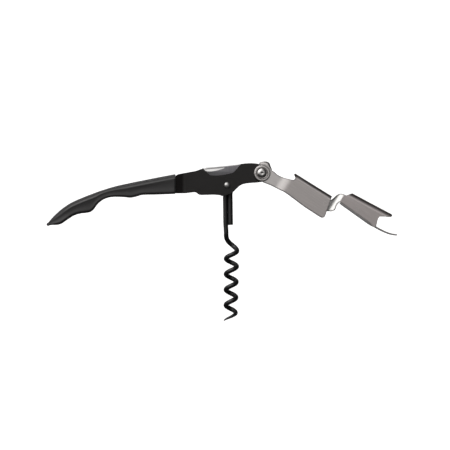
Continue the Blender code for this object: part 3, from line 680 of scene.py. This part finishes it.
def build_peg():
    """Round peg that shows its domed end at the grip's tail."""
    tail_x, tail_z = -96.0, 9.0
    along_x, along_z = 0.86, 0.51
    radius, start, end, seg = 0.90, -0.5, 7.0, 32
    across, up = Vector((0, 1, 0)), Vector((-along_z, 0, along_x))
    stations = [(0, start)]                             # (radius, distance along)
    for degrees in (12, 30, 50, 70, 90):
        a = math.radians(degrees)
        stations.append((radius * math.sin(a), start + radius * 1.1 * (1 - math.cos(a))))
    stations += [(radius, end), (0, end)]
    rings = []
    for r, s in stations:
        centre = Vector((tail_x + along_x * s, 0, tail_z + along_z * s))
        turns = [2 * math.pi * k / seg for k in range(seg)]
        rings.append([centre + r * (math.cos(a) * across + math.sin(a) * up) for a in turns]
                     if r else [centre])
    mesh, loops = new_loops(rings)
    skin(mesh, loops)
    return make_object("tail_peg_round", mesh, PEG_BLACK, sharp=60)


# ---------------------------------------------------------------------------
# Frame sides
# ---------------------------------------------------------------------------
TANG_END = -57.0
SPRING_PIN = (-15.0, 33.6)
# (x, z), -X to +X along the top, then back along the bottom
SIDE_TOP = [
    (-25.2, 36.0), (-24.1, 36.65), (-21.0, 37.3), (-17.7, 37.9), (-14.4, 38.5),
    (-12.2, 39.3), (-9.4, 40.3), (-6.7, 40.6), (-1.2, 41.1), (4.3, 41.7), (9.8, 42.3),
    (12.6, 42.6), (15.3, 42.75), (18.6, 42.6), (20.6, 42.2)]
SIDE_BOTTOM = [
    (21.2, 32.45), (18.5, 32.15), (15.3, 31.95), (12.3, 31.5), (10.1, 30.7), (7.9, 28.8),
    (5.4, 26.6), (0.7, 24.8), (-1.2, 25.2), (-4.5, 25.5), (-8.9, 25.4), (-12.5, 25.5),
    (-14.4, 26.7), (-16.3, 26.8), (-20.2, 26.3)]
# Opening in the near side's top edge: a curved floor between straight ends
WINDOW_FLOOR = [(-7.0, 36.4), (-5.6, 36.0), (-2.6, 36.0), (1.2, 36.4), (5.2, 37.3), (6.6, 38.0)]
WINDOW = ([(-10.6, 40.6), (-10.0, 39.3)] + smooth(WINDOW_FLOOR, 4)
          + [(10.1, 42.0), (10.6, 44.5), (-10.6, 44.5)])
COINED_BAND = [(-25.22, 0.22), (-22.0, 0.20), (-19.6, -0.02)]      # (x, depth)


def side_outline():
    tang_top = [(x, value_at(GRIP_TOP, x) - 1.75)
                for x in (TANG_END, -50, -43, -36, -29.5, -25.58)] + [(-25.52, 35.8)]
    tang_bottom = [(x, value_at(GRIP_BOTTOM, x) + 0.35)
                   for x in (-26.5, -36, -43.5, -46.5, -51, TANG_END)]
    return (tang_top + smooth(SIDE_TOP, 5) + arc(*LEVER_AXIS, 4.55, 80, -84, 36)
            + smooth(SIDE_BOTTOM, 5) + tang_bottom)


def coining_tool(side):
    """Block that presses the shallow band into the outer face beside the grip."""
    face = side * PLATE_OUT
    low, high = 10, 60
    mesh, (a, b) = new_loops((
        [(x, face - side * depth, z) for x, depth in COINED_BAND for z in (low, high)],
        [(x, face + side * 1.0, z) for x, _ in COINED_BAND for z in (low, high)]))
    for k in (0, 2):
        mesh.faces.new((a[k], a[k + 1], a[k + 3], a[k + 2]))
        mesh.faces.new((b[k], b[k + 1], b[k + 3], b[k + 2]))
        mesh.faces.new((a[k], a[k + 2], b[k + 2], b[k]))
        mesh.faces.new((a[k + 1], a[k + 3], b[k + 3], b[k + 1]))
    for k in (0, 4):
        mesh.faces.new((a[k], a[k + 1], b[k + 1], b[k]))
    return mesh


def build_side(name, side, window):
    y0, y1 = span(side, PLATE_IN, PLATE_OUT)
    ob = make_object(name, prism(side_outline(), y0, y1), FRAME_BLACK)
    for radius, axis in ((1.80, LEVER_AXIS), (1.45, WORM_AXIS),
                         (1.05, (-50.0, 29.6)), (1.05, (-33.0, 33.0))):
        drill(ob, radius, axis, 40, y0 - 1, y1 + 1)
    # the spring's pin ends blind, just under the outer face
    drill(ob, 0.85, SPRING_PIN, 32, *span(side, PLATE_IN - 1, PLATE_OUT - 0.07))
    if window:
        boolean(ob, prism(WINDOW, y0 - 1, y1 + 1))
    boolean(ob, coining_tool(side))
    finish_edges(ob, 0.20, 3)
    return ob


def build_side_near():
    return build_side("frame_side_near", -1, window=True)


def build_side_far():
    return build_side("frame_side_far", 1, window=False)


# ---------------------------------------------------------------------------
# Knife
# ---------------------------------------------------------------------------
BLADE_HALF = 0.55
TOOTH_COUNT, TOOTH_PITCH, FIRST_TOOTH_X = 17, 1.25, 10.5
TOOTH_HOLLOW = [(0.30, 0.24), (0.62, 0.32), (0.94, 0.24)]          # (step to -X, rise)
SPINE = [(-12.9, 38.2), (-12.0, 39.2), (-9.4, 40.2), (-6.7, 40.5), (-1.2, 41.0), (4.3, 41.6),
         (9.8, 42.2), (15.3, 42.3)]
NICK = [(-10.0, 39.3), (-8.2, 39.65), (-5.0, 39.95), (-1.5, 40.2), (1.6, 40.35), (-0.6, 39.5),
        (-3.4, 38.75), (-6.2, 38.3), (-8.8, 38.5)]


def knife_teeth():
    points = []
    for k in range(TOOTH_COUNT):
        x = FIRST_TOOTH_X - TOOTH_PITCH * k
        z = 35.3 + 0.004 * (x - 2) ** 2 * (2.0 if x > 2 else 1.0)
        points.append((x, z))
        if k < TOOTH_COUNT - 1:
            points += [(x - step, z + rise) for step, rise in TOOTH_HOLLOW]
    return points


def cutting_bevel(side):
    """Wedge that thins one face towards the toothed edge; its +X end leans."""
    section = [(side * y, z) for y, z in ((BLADE_HALF, 38.3), (0.22, 34.6), (3, 34.6), (3, 38.3))]
    return slab([(-20, y, z) for y, z in section],
                [(12.5 + 0.6 * (z - 38), y, z) for y, z in section])


def bevel_spine(ob):
    def on_spine(vert):
        x, z = to_drawing(vert.co.x, vert.co.z)
        return (abs(abs(vert.co.y) - BLADE_HALF * MM) < 1e-5 and -12.0 < x < 14.0
                and abs(z - value_at(SPINE, x)) < 0.12)

    mesh = bmesh.new()
    mesh.from_mesh(ob.data)
    edges = [e for e in mesh.edges if on_spine(e.verts[0]) and on_spine(e.verts[1])]
    bmesh.ops.bevel(mesh, geom=edges, offset=0.42 * MM, segments=1, affect='EDGES')
    mesh.to_mesh(ob.data)
    mesh.free()


def build_knife():
    heel = arc(*LEVER_AXIS, 4.1, 90, -96, 30)
    outline = (smooth(SPINE, 4) + heel + [(18.0, 35.0), (13.0, 36.0)] + knife_teeth()
               + [(-11.4, 37.0)])
    ob = make_object("foil_knife", prism(outline, -BLADE_HALF, BLADE_HALF), BLADE_STEEL)
    for side in (-1, 1):
        boolean(ob, cutting_bevel(side))
    drill(ob, 1.80, LEVER_AXIS, 48, -3, 3)
    bevel_spine(ob)
    # nail nick: a crescent whose floor leans back so that it catches the light
    nick = smooth(NICK, 6, closed=True)
    boolean(ob, slab([(x, -3.0, z) for x, z in nick],
                     [(x, -0.46 + (z - 38.3) * 0.17 - (x + 4) * 0.012, z) for x, z in nick]))
    finish_edges(ob, 0.06, 2)
    return ob


# ---------------------------------------------------------------------------
# Worm
# ---------------------------------------------------------------------------
WIRE_R = 1.30
RETURN_R = 1.40                 # wire radius of the short leg that comes back down
HELIX_R0, HELIX_R1 = 2.98, 2.74 # helix radius at its top and bottom
PITCH, TURNS = 8.52, 4.5
STEPS_PER_TURN, LEAD_STEPS = 44, 36
LEG_FOOT_X = WORM_AXIS[0] - 0.48
LEG_TOP_X = WORM_AXIS[0] - 1.0
# Middle of the straight leg: (z from the rivet, x)
LEG = [(-26.0, LEG_FOOT_X), (-23.5, LEG_FOOT_X - 0.14), (-20.5, LEG_TOP_X + 0.19),
       (-14.0, LEG_TOP_X + 0.10), (-7.0, LEG_TOP_X), (-5.2, LEG_TOP_X - 0.05)]


def sweep(path, radii, seg):
    """Round tube along a path, its sections carried on without twist."""
    points = [Vector(p) for p in path]
    normal, last_tangent = Vector((0, 1, 0)), None
    rings = []
    for i, p in enumerate(points):
        tangent = (points[min(i + 1, len(points) - 1)] - points[max(i - 1, 0)]).normalized()
        if last_tangent is not None:
            normal = last_tangent.rotation_difference(tangent) @ normal
        normal = (normal - tangent * normal.dot(tangent)).normalized()
        binormal = tangent.cross(normal)
        turns = [2 * math.pi * k / seg for k in range(seg)]
        rings.append([p + radii[i] * (math.cos(a) * normal + math.sin(a) * binormal)
                      for a in turns])
        last_tangent = tangent
    mesh, loops = new_loops(rings)
    mesh.faces.new(loops[0][::-1])
    skin(mesh, loops)
    mesh.faces.new(loops[-1])
    return mesh


def worm_legs():
    """(x, z) path and radii: up the return leg, round the rivet, down the straight leg."""
    rivet_x, rivet_z = WORM_AXIS

    def return_leg(dz):                                 # lies against the straight one
        return (value_at(LEG, dz) + WIRE_R + RETURN_R - 0.02, rivet_z + dz)

    path, radii = [], []
    for dz, share in ((-21.86, 0.78), (-21.82, 0.90), (-21.72, 0.97), (-21.55, 1.0)):
        path.append(return_leg(dz))
        radii.append(RETURN_R * share)
    for k in range(18):
        path.append(return_leg(-20.9 + (20.9 - 5.0) * k / 17))
        radii.append(RETURN_R)
    bend = [path[-1], (rivet_x + 1.90, rivet_z - 3.6)]
    bend += arc(rivet_x, rivet_z, 1.62 + WIRE_R, -26, 222, 31)
    bend += [(value_at(LEG, dz), rivet_z + dz)
             for dz in (-5.2, -7.0, -10.5, -14.0, -17.2, -20.5, -22.0, -23.5, -25.0, -26.0)]
    bend = smooth(bend, 3)[1:]
    radii += [RETURN_R + (WIRE_R - RETURN_R) * min(1.0, k / 8) for k in range(len(bend))]
    return path + bend, radii


def build_worm():
    legs, radii = worm_legs()
    path = [(x, 0.0, z) for x, z in legs]
    lead_top, helix_top = WORM_AXIS[1] - 26.8, WORM_AXIS[1] - 36.1
    axis_x = LEG_FOOT_X + HELIX_R0
    for k in range(1, LEAD_STEPS + 1):                  # half a turn easing into the helix
        s = k / LEAD_STEPS
        angle = math.pi * (1 + s ** 1.5)
        path.append((axis_x + HELIX_R0 * math.cos(angle), -HELIX_R0 * math.sin(angle),
                     lead_top + (helix_top - lead_top) * s))
        radii.append(WIRE_R)
    steps = int(TURNS * STEPS_PER_TURN)
    for k in range(1, steps + 1):
        s = k / steps
        angle = math.pi * 2 * TURNS * s
        flare = 0.85 * max(0.0, (s - 0.90) / 0.10) ** 2
        r = HELIX_R0 + (HELIX_R1 - HELIX_R0) * s + flare
        path.append((axis_x - 0.50 * s + r * math.cos(angle), -r * math.sin(angle),
                     helix_top - PITCH * TURNS * s))
        to_tip = (steps - k) / STEPS_PER_TURN * 13
        radii.append(WIRE_R * (0.08 + 0.92 * min(1.0, (to_tip + 0.5) / 9.0) ** 0.68))
    return make_object("worm_wire", sweep(path, radii, 26), WORM_BLACK, sharp=50)


# ---------------------------------------------------------------------------
# Lever: outlines below are (u, v) in lever coordinates
# ---------------------------------------------------------------------------
def channel(stations, top, bend, to_xz):
    """Sheet folded over the top, open below; stations are (u, outer half width)."""
    low = -9.0
    angles = [math.radians(90 * k / 9) for k in range(10)]

    def wall(w, top, bend):
        return [(w, low)] + [(w - bend + bend * math.cos(a), top - bend + bend * math.sin(a))
                             for a in angles]

    rings = []
    for u, w in stations:
        outer = wall(w, top, bend)
        inner = wall(w - SHEET, top - SHEET, bend - SHEET)
        ring = (outer + [(-y, v) for y, v in reversed(outer)]
                + [(-y, v) for y, v in inner] + [(y, v) for y, v in reversed(inner)])
        places = [(to_xz(u, v), y) for y, v in ring]
        rings.append([(x, y, z) for (x, z), y in places])
    mesh, loops = new_loops(rings)
    skin(mesh, loops)
    half = len(loops[0]) // 2
    for loop, flip in ((loops[0], False), (loops[-1], True)):
        for i in range(half - 1):
            face = (loop[i], loop[i + 1], loop[2 * half - 2 - i], loop[2 * half - 1 - i])
            mesh.faces.new(face[::-1] if flip else face)
    return mesh


def joggle(u0, u1, w0, w1, steps):
    """Stations whose half width eases from w0 to w1."""
    shares = [k / steps for k in range(steps + 1)]
    return [(u0 + (u1 - u0) * k / steps, w0 + (w1 - w0) * (t * t * (3 - 2 * t)))
            for k, t in enumerate(shares)]


LOBE = [(-4.35, 4.1), (-3.3, 5.4), (-1.9, 6.5), (-0.5, 7.0), (0.7, 6.8), (2.2, 5.6), (3.6, 4.6)]
LIP_SHEET = 0.88


def lobe_stations():
    """Along the stop lobe: (u, v), the direction inwards, fullness and rolling radius."""
    points = smooth(LOBE, 6)
    count = len(points)
    stations = []
    for i, (u, v) in enumerate(points):
        fullness = math.sin(math.pi * (i + 0.6) / (count + 0.2)) ** 0.7
        along = direction(points[max(i - 1, 0)], points[min(i + 1, count - 1)])
        stations.append((u, v, along.y, -along.x, fullness, 0.35 + 1.25 * fullness))
    return stations


def lobe_lip(side):
    """The lobe's rolled edge: the sheet turns inwards and runs out flat at both ends."""
    face, t = NECK_OUT - 0.01, LIP_SHEET
    quarter = [math.radians(90 * k / 7) for k in range(8)]
    rings = []
    for u, v, in_u, in_v, fullness, r in lobe_stations():
        r_in = max(r - t, 0.05)
        flat_end = face - t - r_in - 0.02
        end = flat_end - (flat_end - 4.95) * max(0.0, 1.3 * fullness - 0.3)
        section = [(0.0, end)]                          # (distance inwards, |y|)
        section += [(r - r * math.cos(a), face - r + r * math.sin(a)) for a in quarter]
        section += [(r + 0.5, face), (r + 0.5, face - t)]
        section += [(t + r_in - r_in * math.cos(a), face - t - r_in + r_in * math.sin(a))
                    for a in reversed(quarter)]
        section.append((t, end))
        places = [(lever_point(u + in_u * inwards, v + in_v * inwards), y)
                  for inwards, y in section]
        rings.append([(x, side * y, z) for (x, z), y in places])
    mesh, loops = new_loops(rings)
    mesh.faces.new(loops[0])
    skin(mesh, loops)
    mesh.faces.new(loops[-1][::-1])
    return mesh


STAGE_1_NOTCH = [(6.0, 4.1), (7.7, 3.8), (11.2, 4.2), (15.6, 5.5)]
STAGE_1_TOP = [(16.8, 6.1), (17.0, 7.0), (17.05, 7.8), (15.3, 8.8), (15.6, 9.75), (39.3, 9.75),
               (39.3, 8.6), (39.75, 7.3), (40.4, 4.2), (41.1, 1.0), (41.7, -1.6)]
STAGE_1_BOTTOM = [(39.0, -3.4), (29.8, -3.2), (21.5, -2.5), (16.2, -2.15), (12.8, -2.5),
                  (8.1, -2.9), (3.4, -3.75)]
# Raised ring round the rivet and the recess in it: (radius, |y|)
BOSS = [(0, 6.5), (4.3, 6.5), (4.45, 6.8), (4.42, 6.95), (4.30, 7.10), (4.10, 7.21), (3.9, 7.25),
        (0, 7.25)]
BOSS_RECESS = [(0, 6.70), (2.92, 6.70), (3.02, 6.76), (3.10, 6.90), (3.16, 7.3), (3.16, 9), (0, 9)]


def build_stage_1():
    flat_lobe = [(u + in_u * r, v + in_v * r) for u, v, in_u, in_v, _, r in lobe_stations()]
    outline = (arc(0, 0, 4.5, 232, 141, 22) + flat_lobe + [(4.9, 4.15)]
               + smooth(STAGE_1_NOTCH, 6) + STAGE_1_TOP
               + arc(40.4, -2.1, 1.25, 15, -80, 10) + smooth(STAGE_1_BOTTOM, 4))
    stations = ([(-8, NECK_OUT)] + joggle(9.6, 16.4, NECK_OUT, BODY_OUT, 12)
                + [(45, BODY_OUT)])
    ob = make_object("first_lever", channel(stations, top=9.6, bend=2.4, to_xz=lever_point),
                     STAGE_1_STEEL)
    boolean(ob, prism(lever_points(outline), -12, 12), 'INTERSECT')
    for side in (-1, 1):
        boolean(ob, lobe_lip(side), 'UNION')
        boolean(ob, turned([(r, side * y) for r, y in BOSS], LEVER_AXIS, 72), 'UNION')
        boolean(ob, turned([(r, side * y) for r, y in BOSS_RECESS], LEVER_AXIS, 72))
    drill(ob, 1.85, LEVER_AXIS, 64)
    drill(ob, 4.4, LEVER_AXIS, 64, -5.98, 5.98)         # clears the frame between the cheeks
    drill(ob, HINGE_HOLE_R, HINGE_AXIS, 32)
    finish_edges(ob, 0.24, 4, angle=24)
    top = CAD_BOX[1].z - 0.000003
    for vert in ob.data.vertices:                       # keep it under the CAD's own top
        vert.co.z = min(vert.co.z, top)
    return ob


STAGE_2_NECK = [(39.7, 7.45), (40.3, 8.3), (40.65, 9.4), (41.0, 10.6), (41.6, 12.3), (43.2, 13.7),
                (45.2, 14.0), (45.9, 14.3), (46.9, 15.6), (47.9, 16.95)]
STAGE_2_TOP = [(60.0, 17.8), (72.0, 18.6)]
STAGE_2_FOOT = [(72.7, 18.3), (72.9, 17.8), (72.5, 16.9), (70.2, 15.7), (68.4, 14.6), (67.3, 13.8),
                (67.2, 12.2), (68.0, 9.6), (68.35, 8.3), (67.9, 7.6), (66.6, 7.35), (65.3, 7.75),
                (64.4, 8.15)]
STAGE_2_EAR = [(46.0, 9.3), (44.9, 9.2), (44.2, 8.0), (44.1, 6.5), (44.55, 4.2), (43.6, 2.6),
               (42.3, 1.75), (41.0, 1.2)]


def build_stage_2():
    outline = (arc(38.1, 4.1, 3.5, -60, -270, 30) + smooth(STAGE_2_NECK, 4) + STAGE_2_TOP
               + smooth(STAGE_2_FOOT, 3) + smooth(STAGE_2_EAR, 4))
    (start_u, start_v), (end_u, end_v) = STAGE_2_NECK[-1], STAGE_2_TOP[-1]
    tilt = math.tan(math.atan2(end_v - start_v, end_u - start_u))

    def tilted(u, v):                                   # the fold follows the top edge
        return lever_point(u, v + (u - start_u) * tilt)

    ear_low = EAR_OUT - 0.14
    stations = ([(30, EAR_OUT), (40.0, EAR_OUT)] + joggle(40.2, 41.4, EAR_OUT, ear_low, 4)
                + joggle(41.7, 44.7, ear_low, BODY_OUT, 9) + [(80, BODY_OUT)])
    ob = make_object("second_lever", channel(stations, top=16.9, bend=2.9, to_xz=tilted),
                     STAGE_2_STEEL)
    boolean(ob, prism(lever_points(outline), -12, 12), 'INTERSECT')
    drill(ob, HINGE_HOLE_R, HINGE_AXIS, 32)
    drill(ob, 0.72, FORK_RIVET, 28)
    finish_edges(ob, 0.24, 4, angle=24)
    return ob


FORK_STRAIGHT = [(45.1, 9.12), (46.3, 8.8), (52.0, 8.42), (60.0, 7.95), (65.5, 7.6)]
FORK_CURVE = [(68.4, 7.95), (70.9, 8.05), (74.6, 8.45), (77.9, 9.2), (80.7, 10.4)]
FORK_HALF = 0.4                 # half the strip's thickness
FORK_GAP = [(50.0, 3.0), (90.0, 3.0), (90.0, 16.0), (50.0, 16.0)]
FORK_EAR = [(53.2, 8.2), (56.8, 8.0), (56.8, 11.8), (56.2, 12.4), (53.8, 12.4), (53.2, 11.8)]
FORK_WAIST = [(64.0, 5.0), (69.0, 5.0), (69.6, 10.0), (64.0, 10.0)]


def build_fork():
    middle = FORK_STRAIGHT + smooth(FORK_CURVE, 8)
    upper, lower = [], []
    for i, (u, v) in enumerate(middle):
        along = direction(middle[max(i - 1, 0)], middle[min(i + 1, len(middle) - 1)])
        upper.append((u - along.y * FORK_HALF, v + along.x * FORK_HALF))
        lower.append((u + along.y * FORK_HALF, v - along.x * FORK_HALF))
    ob = make_object("guide_fork_strip", prism(lever_points(upper + lower[::-1]), -7.6, 7.6),
                     FORK_STEEL)
    boolean(ob, prism(lever_points(FORK_GAP), -4.9, 4.9))
    for side in (-1, 1):
        boolean(ob, prism(lever_points(FORK_EAR), *span(side, EAR_IN, EAR_OUT)), 'UNION')
        # waist where the legs pass inside the foot's corners
        boolean(ob, prism(lever_points(FORK_WAIST), *span(side, 6.62, 9.0)))
    drill(ob, 0.8, FORK_RIVET, 24)
    finish_edges(ob, 0.10, 2, angle=24)
    return ob


# ---------------------------------------------------------------------------
# Rivets: half profiles are (radius, y), from the near end inwards
# ---------------------------------------------------------------------------
LEVER_RIVET = [
    (0, -7.44), (0.25, -7.445), (0.45, -7.47), (0.62, -7.52), (0.78, -7.57), (0.92, -7.595),
    (1.08, -7.60), (1.3, -7.575), (1.55, -7.51), (1.8, -7.42), (2.05, -7.31), (2.3, -7.18),
    (2.52, -7.05), (2.68, -6.93), (2.76, -6.85), (2.77, -6.80), (1.75, -6.78)]
WORM_RIVET = (
    [(0, -6.6)]
    + [(1.65 * math.sin(math.radians(a)), -5.62 - 0.98 * math.cos(math.radians(a)))
       for a in (10, 22, 34, 46, 58, 70, 80, 88)]
    + [(1.62, -5.6), (1.40, -5.58)])


def rivet(name, half, axis, seg, material):
    profile = half + [(r, -y) for r, y in reversed(half)]
    return make_object(name, turned(profile, axis, seg), material, sharp=40)


def build_lever_rivet():
    return rivet("lever_rivet_head", LEVER_RIVET, LEVER_AXIS, 72, RIVET_STEEL)


def build_worm_rivet():
    return rivet("worm_rivet_head", WORM_RIVET, WORM_AXIS, 64, PIN_STEEL)


# ---------------------------------------------------------------------------
# Assembly
# ---------------------------------------------------------------------------
# (builder, CAD node it replaces, moving body, material slot)
PIECES = [
    (build_grip, "grip", "handle", "soft_grip"),
    (build_peg, "tail_peg", "handle", "black_steel"),
    (build_side_near, "frame_plate_near", "handle", "black_steel"),
    (build_side_far, "frame_plate_far", "handle", "black_steel"),
    (build_knife, "knife_blade", "knife", "blade_steel"),
    (build_worm, "worm", "worm", "worm_coating"),
    (build_stage_1, "lever_stage_1", "first_stage", "brushed_steel"),
    (build_stage_2, "lever_stage_2", "second_stage", "brushed_steel"),
    (build_fork, "guide_fork", "second_stage", "brushed_steel"),
    (build_lever_rivet, "lever_rivet", "handle", "bright_steel"),
    (build_worm_rivet, "worm_rivet", "handle", "bright_steel"),
]
for build, node, body, slot in PIECES:
    ob = build()
    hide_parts(node)
    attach(ob, body)

# CAD pieces that stay as they are, with a new material
KEPT = [
    (INNER_BLACK, ["frame_spacer"]),
    (RIVET_STEEL, ["tang_rivet_rear", "tang_rivet_front"]),
    (SPRING_STEEL, ["knife_spring", "lever_washer_near", "lever_washer_far",
                    "knife_spacer_near", "knife_spacer_far",
                    "worm_spacer_near", "worm_spacer_far"]),
    (FRAME_BLACK, ["spring_pin"]),
    (STAGE_1_STEEL, ["hinge_rivet_near", "hinge_rivet_far"]),
    (STAGE_2_STEEL, ["fork_rivet_near", "fork_rivet_far"]),
]
for material, nodes in KEPT:
    for node in nodes:
        slots = frame["nodes"][node].data.materials
        slots.clear()
        slots.append(material)

# ---------------------------------------------------------------------------
# Floor: pale, sweeping up into a back wall (metres)
# ---------------------------------------------------------------------------
FLOOR_Z = -0.135
FLOOR_HALF_WIDTH = 7.0
FLOOR_FRONT, SWEEP_START, SWEEP_R, WALL_TOP = -7.0, 3.0, 1.6, 6.0
FLOOR_GLOW = 0.72               # emission seen by the camera only


def floor_material():
    """Pale to the camera, dim with a lit band to reflections, clear from behind."""
    n = Material("floor_pale")
    n.set("Roughness", 0.9)
    n.set("Specular IOR Level", 0.1)
    tone = n.noise(stretch=3, detail=2.0, rough=0.5)
    n.set("Base Color", n.mix(n.ramp(tone, over=(0.3, 0.7)), (0.80,) * 3, (0.82,) * 3))
    n.set("Emission Color", (1, 1, 1, 1))
    from_camera = n.new("ShaderNodeLightPath").outputs["Is Camera Ray"]
    n.set("Emission Strength", n.times(from_camera, FLOOR_GLOW))
    geometry = n.new("ShaderNodeNewGeometry")
    z = n.split(geometry.outputs["Position"])[2]
    rise = n.ramp(z, over=(-0.13, 0.5), to=(0.05, 1.0))
    fall = n.ramp(z, over=(1.3, 2.3), to=(1.0, 0.06))
    reflected = n.new("ShaderNodeEmission")
    n.put(reflected.inputs["Strength"], n.times(n.times(rise, fall), 0.6))
    front = n.mix_shader(from_camera, reflected.outputs[0], n.shader.outputs[0])
    facing = n.new("ShaderNodeNewGeometry")
    clear = n.new("ShaderNodeBsdfTransparent")
    surface = n.mix_shader(facing.outputs["Backfacing"], front, clear.outputs[0])
    n.put(n.tree.nodes["Material Output"].inputs["Surface"], surface)
    return n.mat


def build_floor():
    profile = [(FLOOR_FRONT, 0.0), (SWEEP_START, 0.0)]              # (y, height)
    for degrees in range(6, 91, 6):
        a = math.radians(degrees)
        profile.append((SWEEP_START + SWEEP_R * math.sin(a), SWEEP_R * (1 - math.cos(a))))
    profile.append((SWEEP_START + SWEEP_R, WALL_TOP))
    data = bpy.data.meshes.new("floor")
    mesh, (left, right) = new_loops([[(x, y, z + FLOOR_Z) for y, z in profile]
                                     for x in (-FLOOR_HALF_WIDTH, FLOOR_HALF_WIDTH)])
    for k in range(len(profile) - 1):
        mesh.faces.new((left[k], right[k], right[k + 1], left[k + 1]))
    mesh.to_mesh(data)
    mesh.free()
    data.shade_smooth()
    floor = bpy.data.objects.new("floor", data)
    bpy.context.scene.collection.objects.link(floor)
    data.materials.append(floor_material())


build_floor()

# ---------------------------------------------------------------------------
# World: white to the camera, a soft studio of graded greys to the object
# ---------------------------------------------------------------------------
SKY_BASE = 0.06
# Soft bright lobes: (direction, tightness, gain)
SKY_LOBES = (
    ((-0.30, -0.35, 0.90), 3.0, 1.2),
    ((0.0, -1.0, 0.0), 10.0, 0.30),
    ((-0.62, -0.66, 0.42), 14.0, 2.2),
    ((-1.0, -0.1, 0.1), 4.0, 0.20),
)
# Dark patch: its direction, the cosines where it starts and is full, and its depth
DARK_DIRECTION, DARK_START, DARK_FULL, DARK_DEPTH = (0.72, 0.10, 0.69), 0.42, 0.72, 0.97


def build_world():
    world = bpy.data.worlds.new("studio")
    bpy.context.scene.world = world
    world.use_nodes = True
    n = Tree(world.node_tree)
    n.tree.nodes.clear()
    xyz = n.split(n.new("ShaderNodeTexCoord").outputs["Generated"])

    def facing(aim):
        v = Vector(aim).normalized()
        return n.plus(n.plus(n.times(xyz[0], v.x), n.times(xyz[1], v.y)), n.times(xyz[2], v.z))

    sky = SKY_BASE
    for aim, tightness, gain in SKY_LOBES:
        lobe = n.math('POWER', n.math('MAXIMUM', facing(aim), 0.0), tightness)
        sky = n.plus(sky, n.times(lobe, gain))
    patch = n.math('DIVIDE', n.minus(facing(DARK_DIRECTION), DARK_START),
                   DARK_FULL - DARK_START, clamp=True)
    sky = n.times(sky, n.minus(1.0, n.times(patch, DARK_DEPTH)))

    def background(colour, strength):
        node = n.new("ShaderNodeBackground")
        node.inputs[0].default_value = colour
        n.put(node.inputs[1], strength)
        return node.outputs[0]

    from_camera = n.new("ShaderNodeLightPath").outputs["Is Camera Ray"]
    surface = n.mix_shader(from_camera, background((1.0, 0.99, 0.98, 1), sky),
                           background((1, 1, 1, 1), 1.0))
    n.put(n.new("ShaderNodeOutputWorld").inputs[0], surface)


build_world()

# ---------------------------------------------------------------------------
# Lights, all aimed at the scene's origin: (name, location, size, watts)
# ---------------------------------------------------------------------------
LIGHTS = (
    ("key", (-0.45, -0.55, 1.05), (0.7, 0.5), 2.4),
    ("fill", (0.3, -1.6, 0.35), (0.8, 0.8), 0.9),
    ("back", (0.2, 1.5, 0.75), (0.9, 0.7), 1.6),
)
for name, location, size, watts in LIGHTS:
    lamp = bpy.data.lights.new(name, 'AREA')
    lamp.shape, lamp.energy = 'RECTANGLE', watts
    lamp.size, lamp.size_y = size
    light = bpy.data.objects.new(name, lamp)
    light.location = location
    light.rotation_mode = 'QUATERNION'
    light.rotation_quaternion = (-Vector(location)).to_track_quat('-Z', 'Y')
    light.visible_camera = False
    bpy.context.scene.collection.objects.link(light)

# ---------------------------------------------------------------------------
# Camera
# ---------------------------------------------------------------------------
VIEW_WIDTH = 0.2475             # metres across the picture at the tool's middle plane
CAMERA_DISTANCE = 2.2
SENSOR = 36.0
VIEW_SHIFT_X, VIEW_SHIFT_Z = 0.00187, 0.00897      # from the middle of the CAD box

low, high = CAD_BOX
lens = bpy.data.cameras.new("camera")
lens.sensor_width = SENSOR
lens.lens = SENSOR * CAMERA_DISTANCE / VIEW_WIDTH
lens.clip_start, lens.clip_end = 0.05, 50.0
camera = bpy.data.objects.new("camera", lens)
camera.location = ((low.x + high.x) / 2 + VIEW_SHIFT_X, -CAMERA_DISTANCE,
                   (low.z + high.z) / 2 + VIEW_SHIFT_Z)
camera.rotation_euler = (math.radians(90), 0, 0)
bpy.context.scene.collection.objects.link(camera)
bpy.context.scene.camera = camera
bpy.context.scene.view_settings.view_transform = 'Standard'
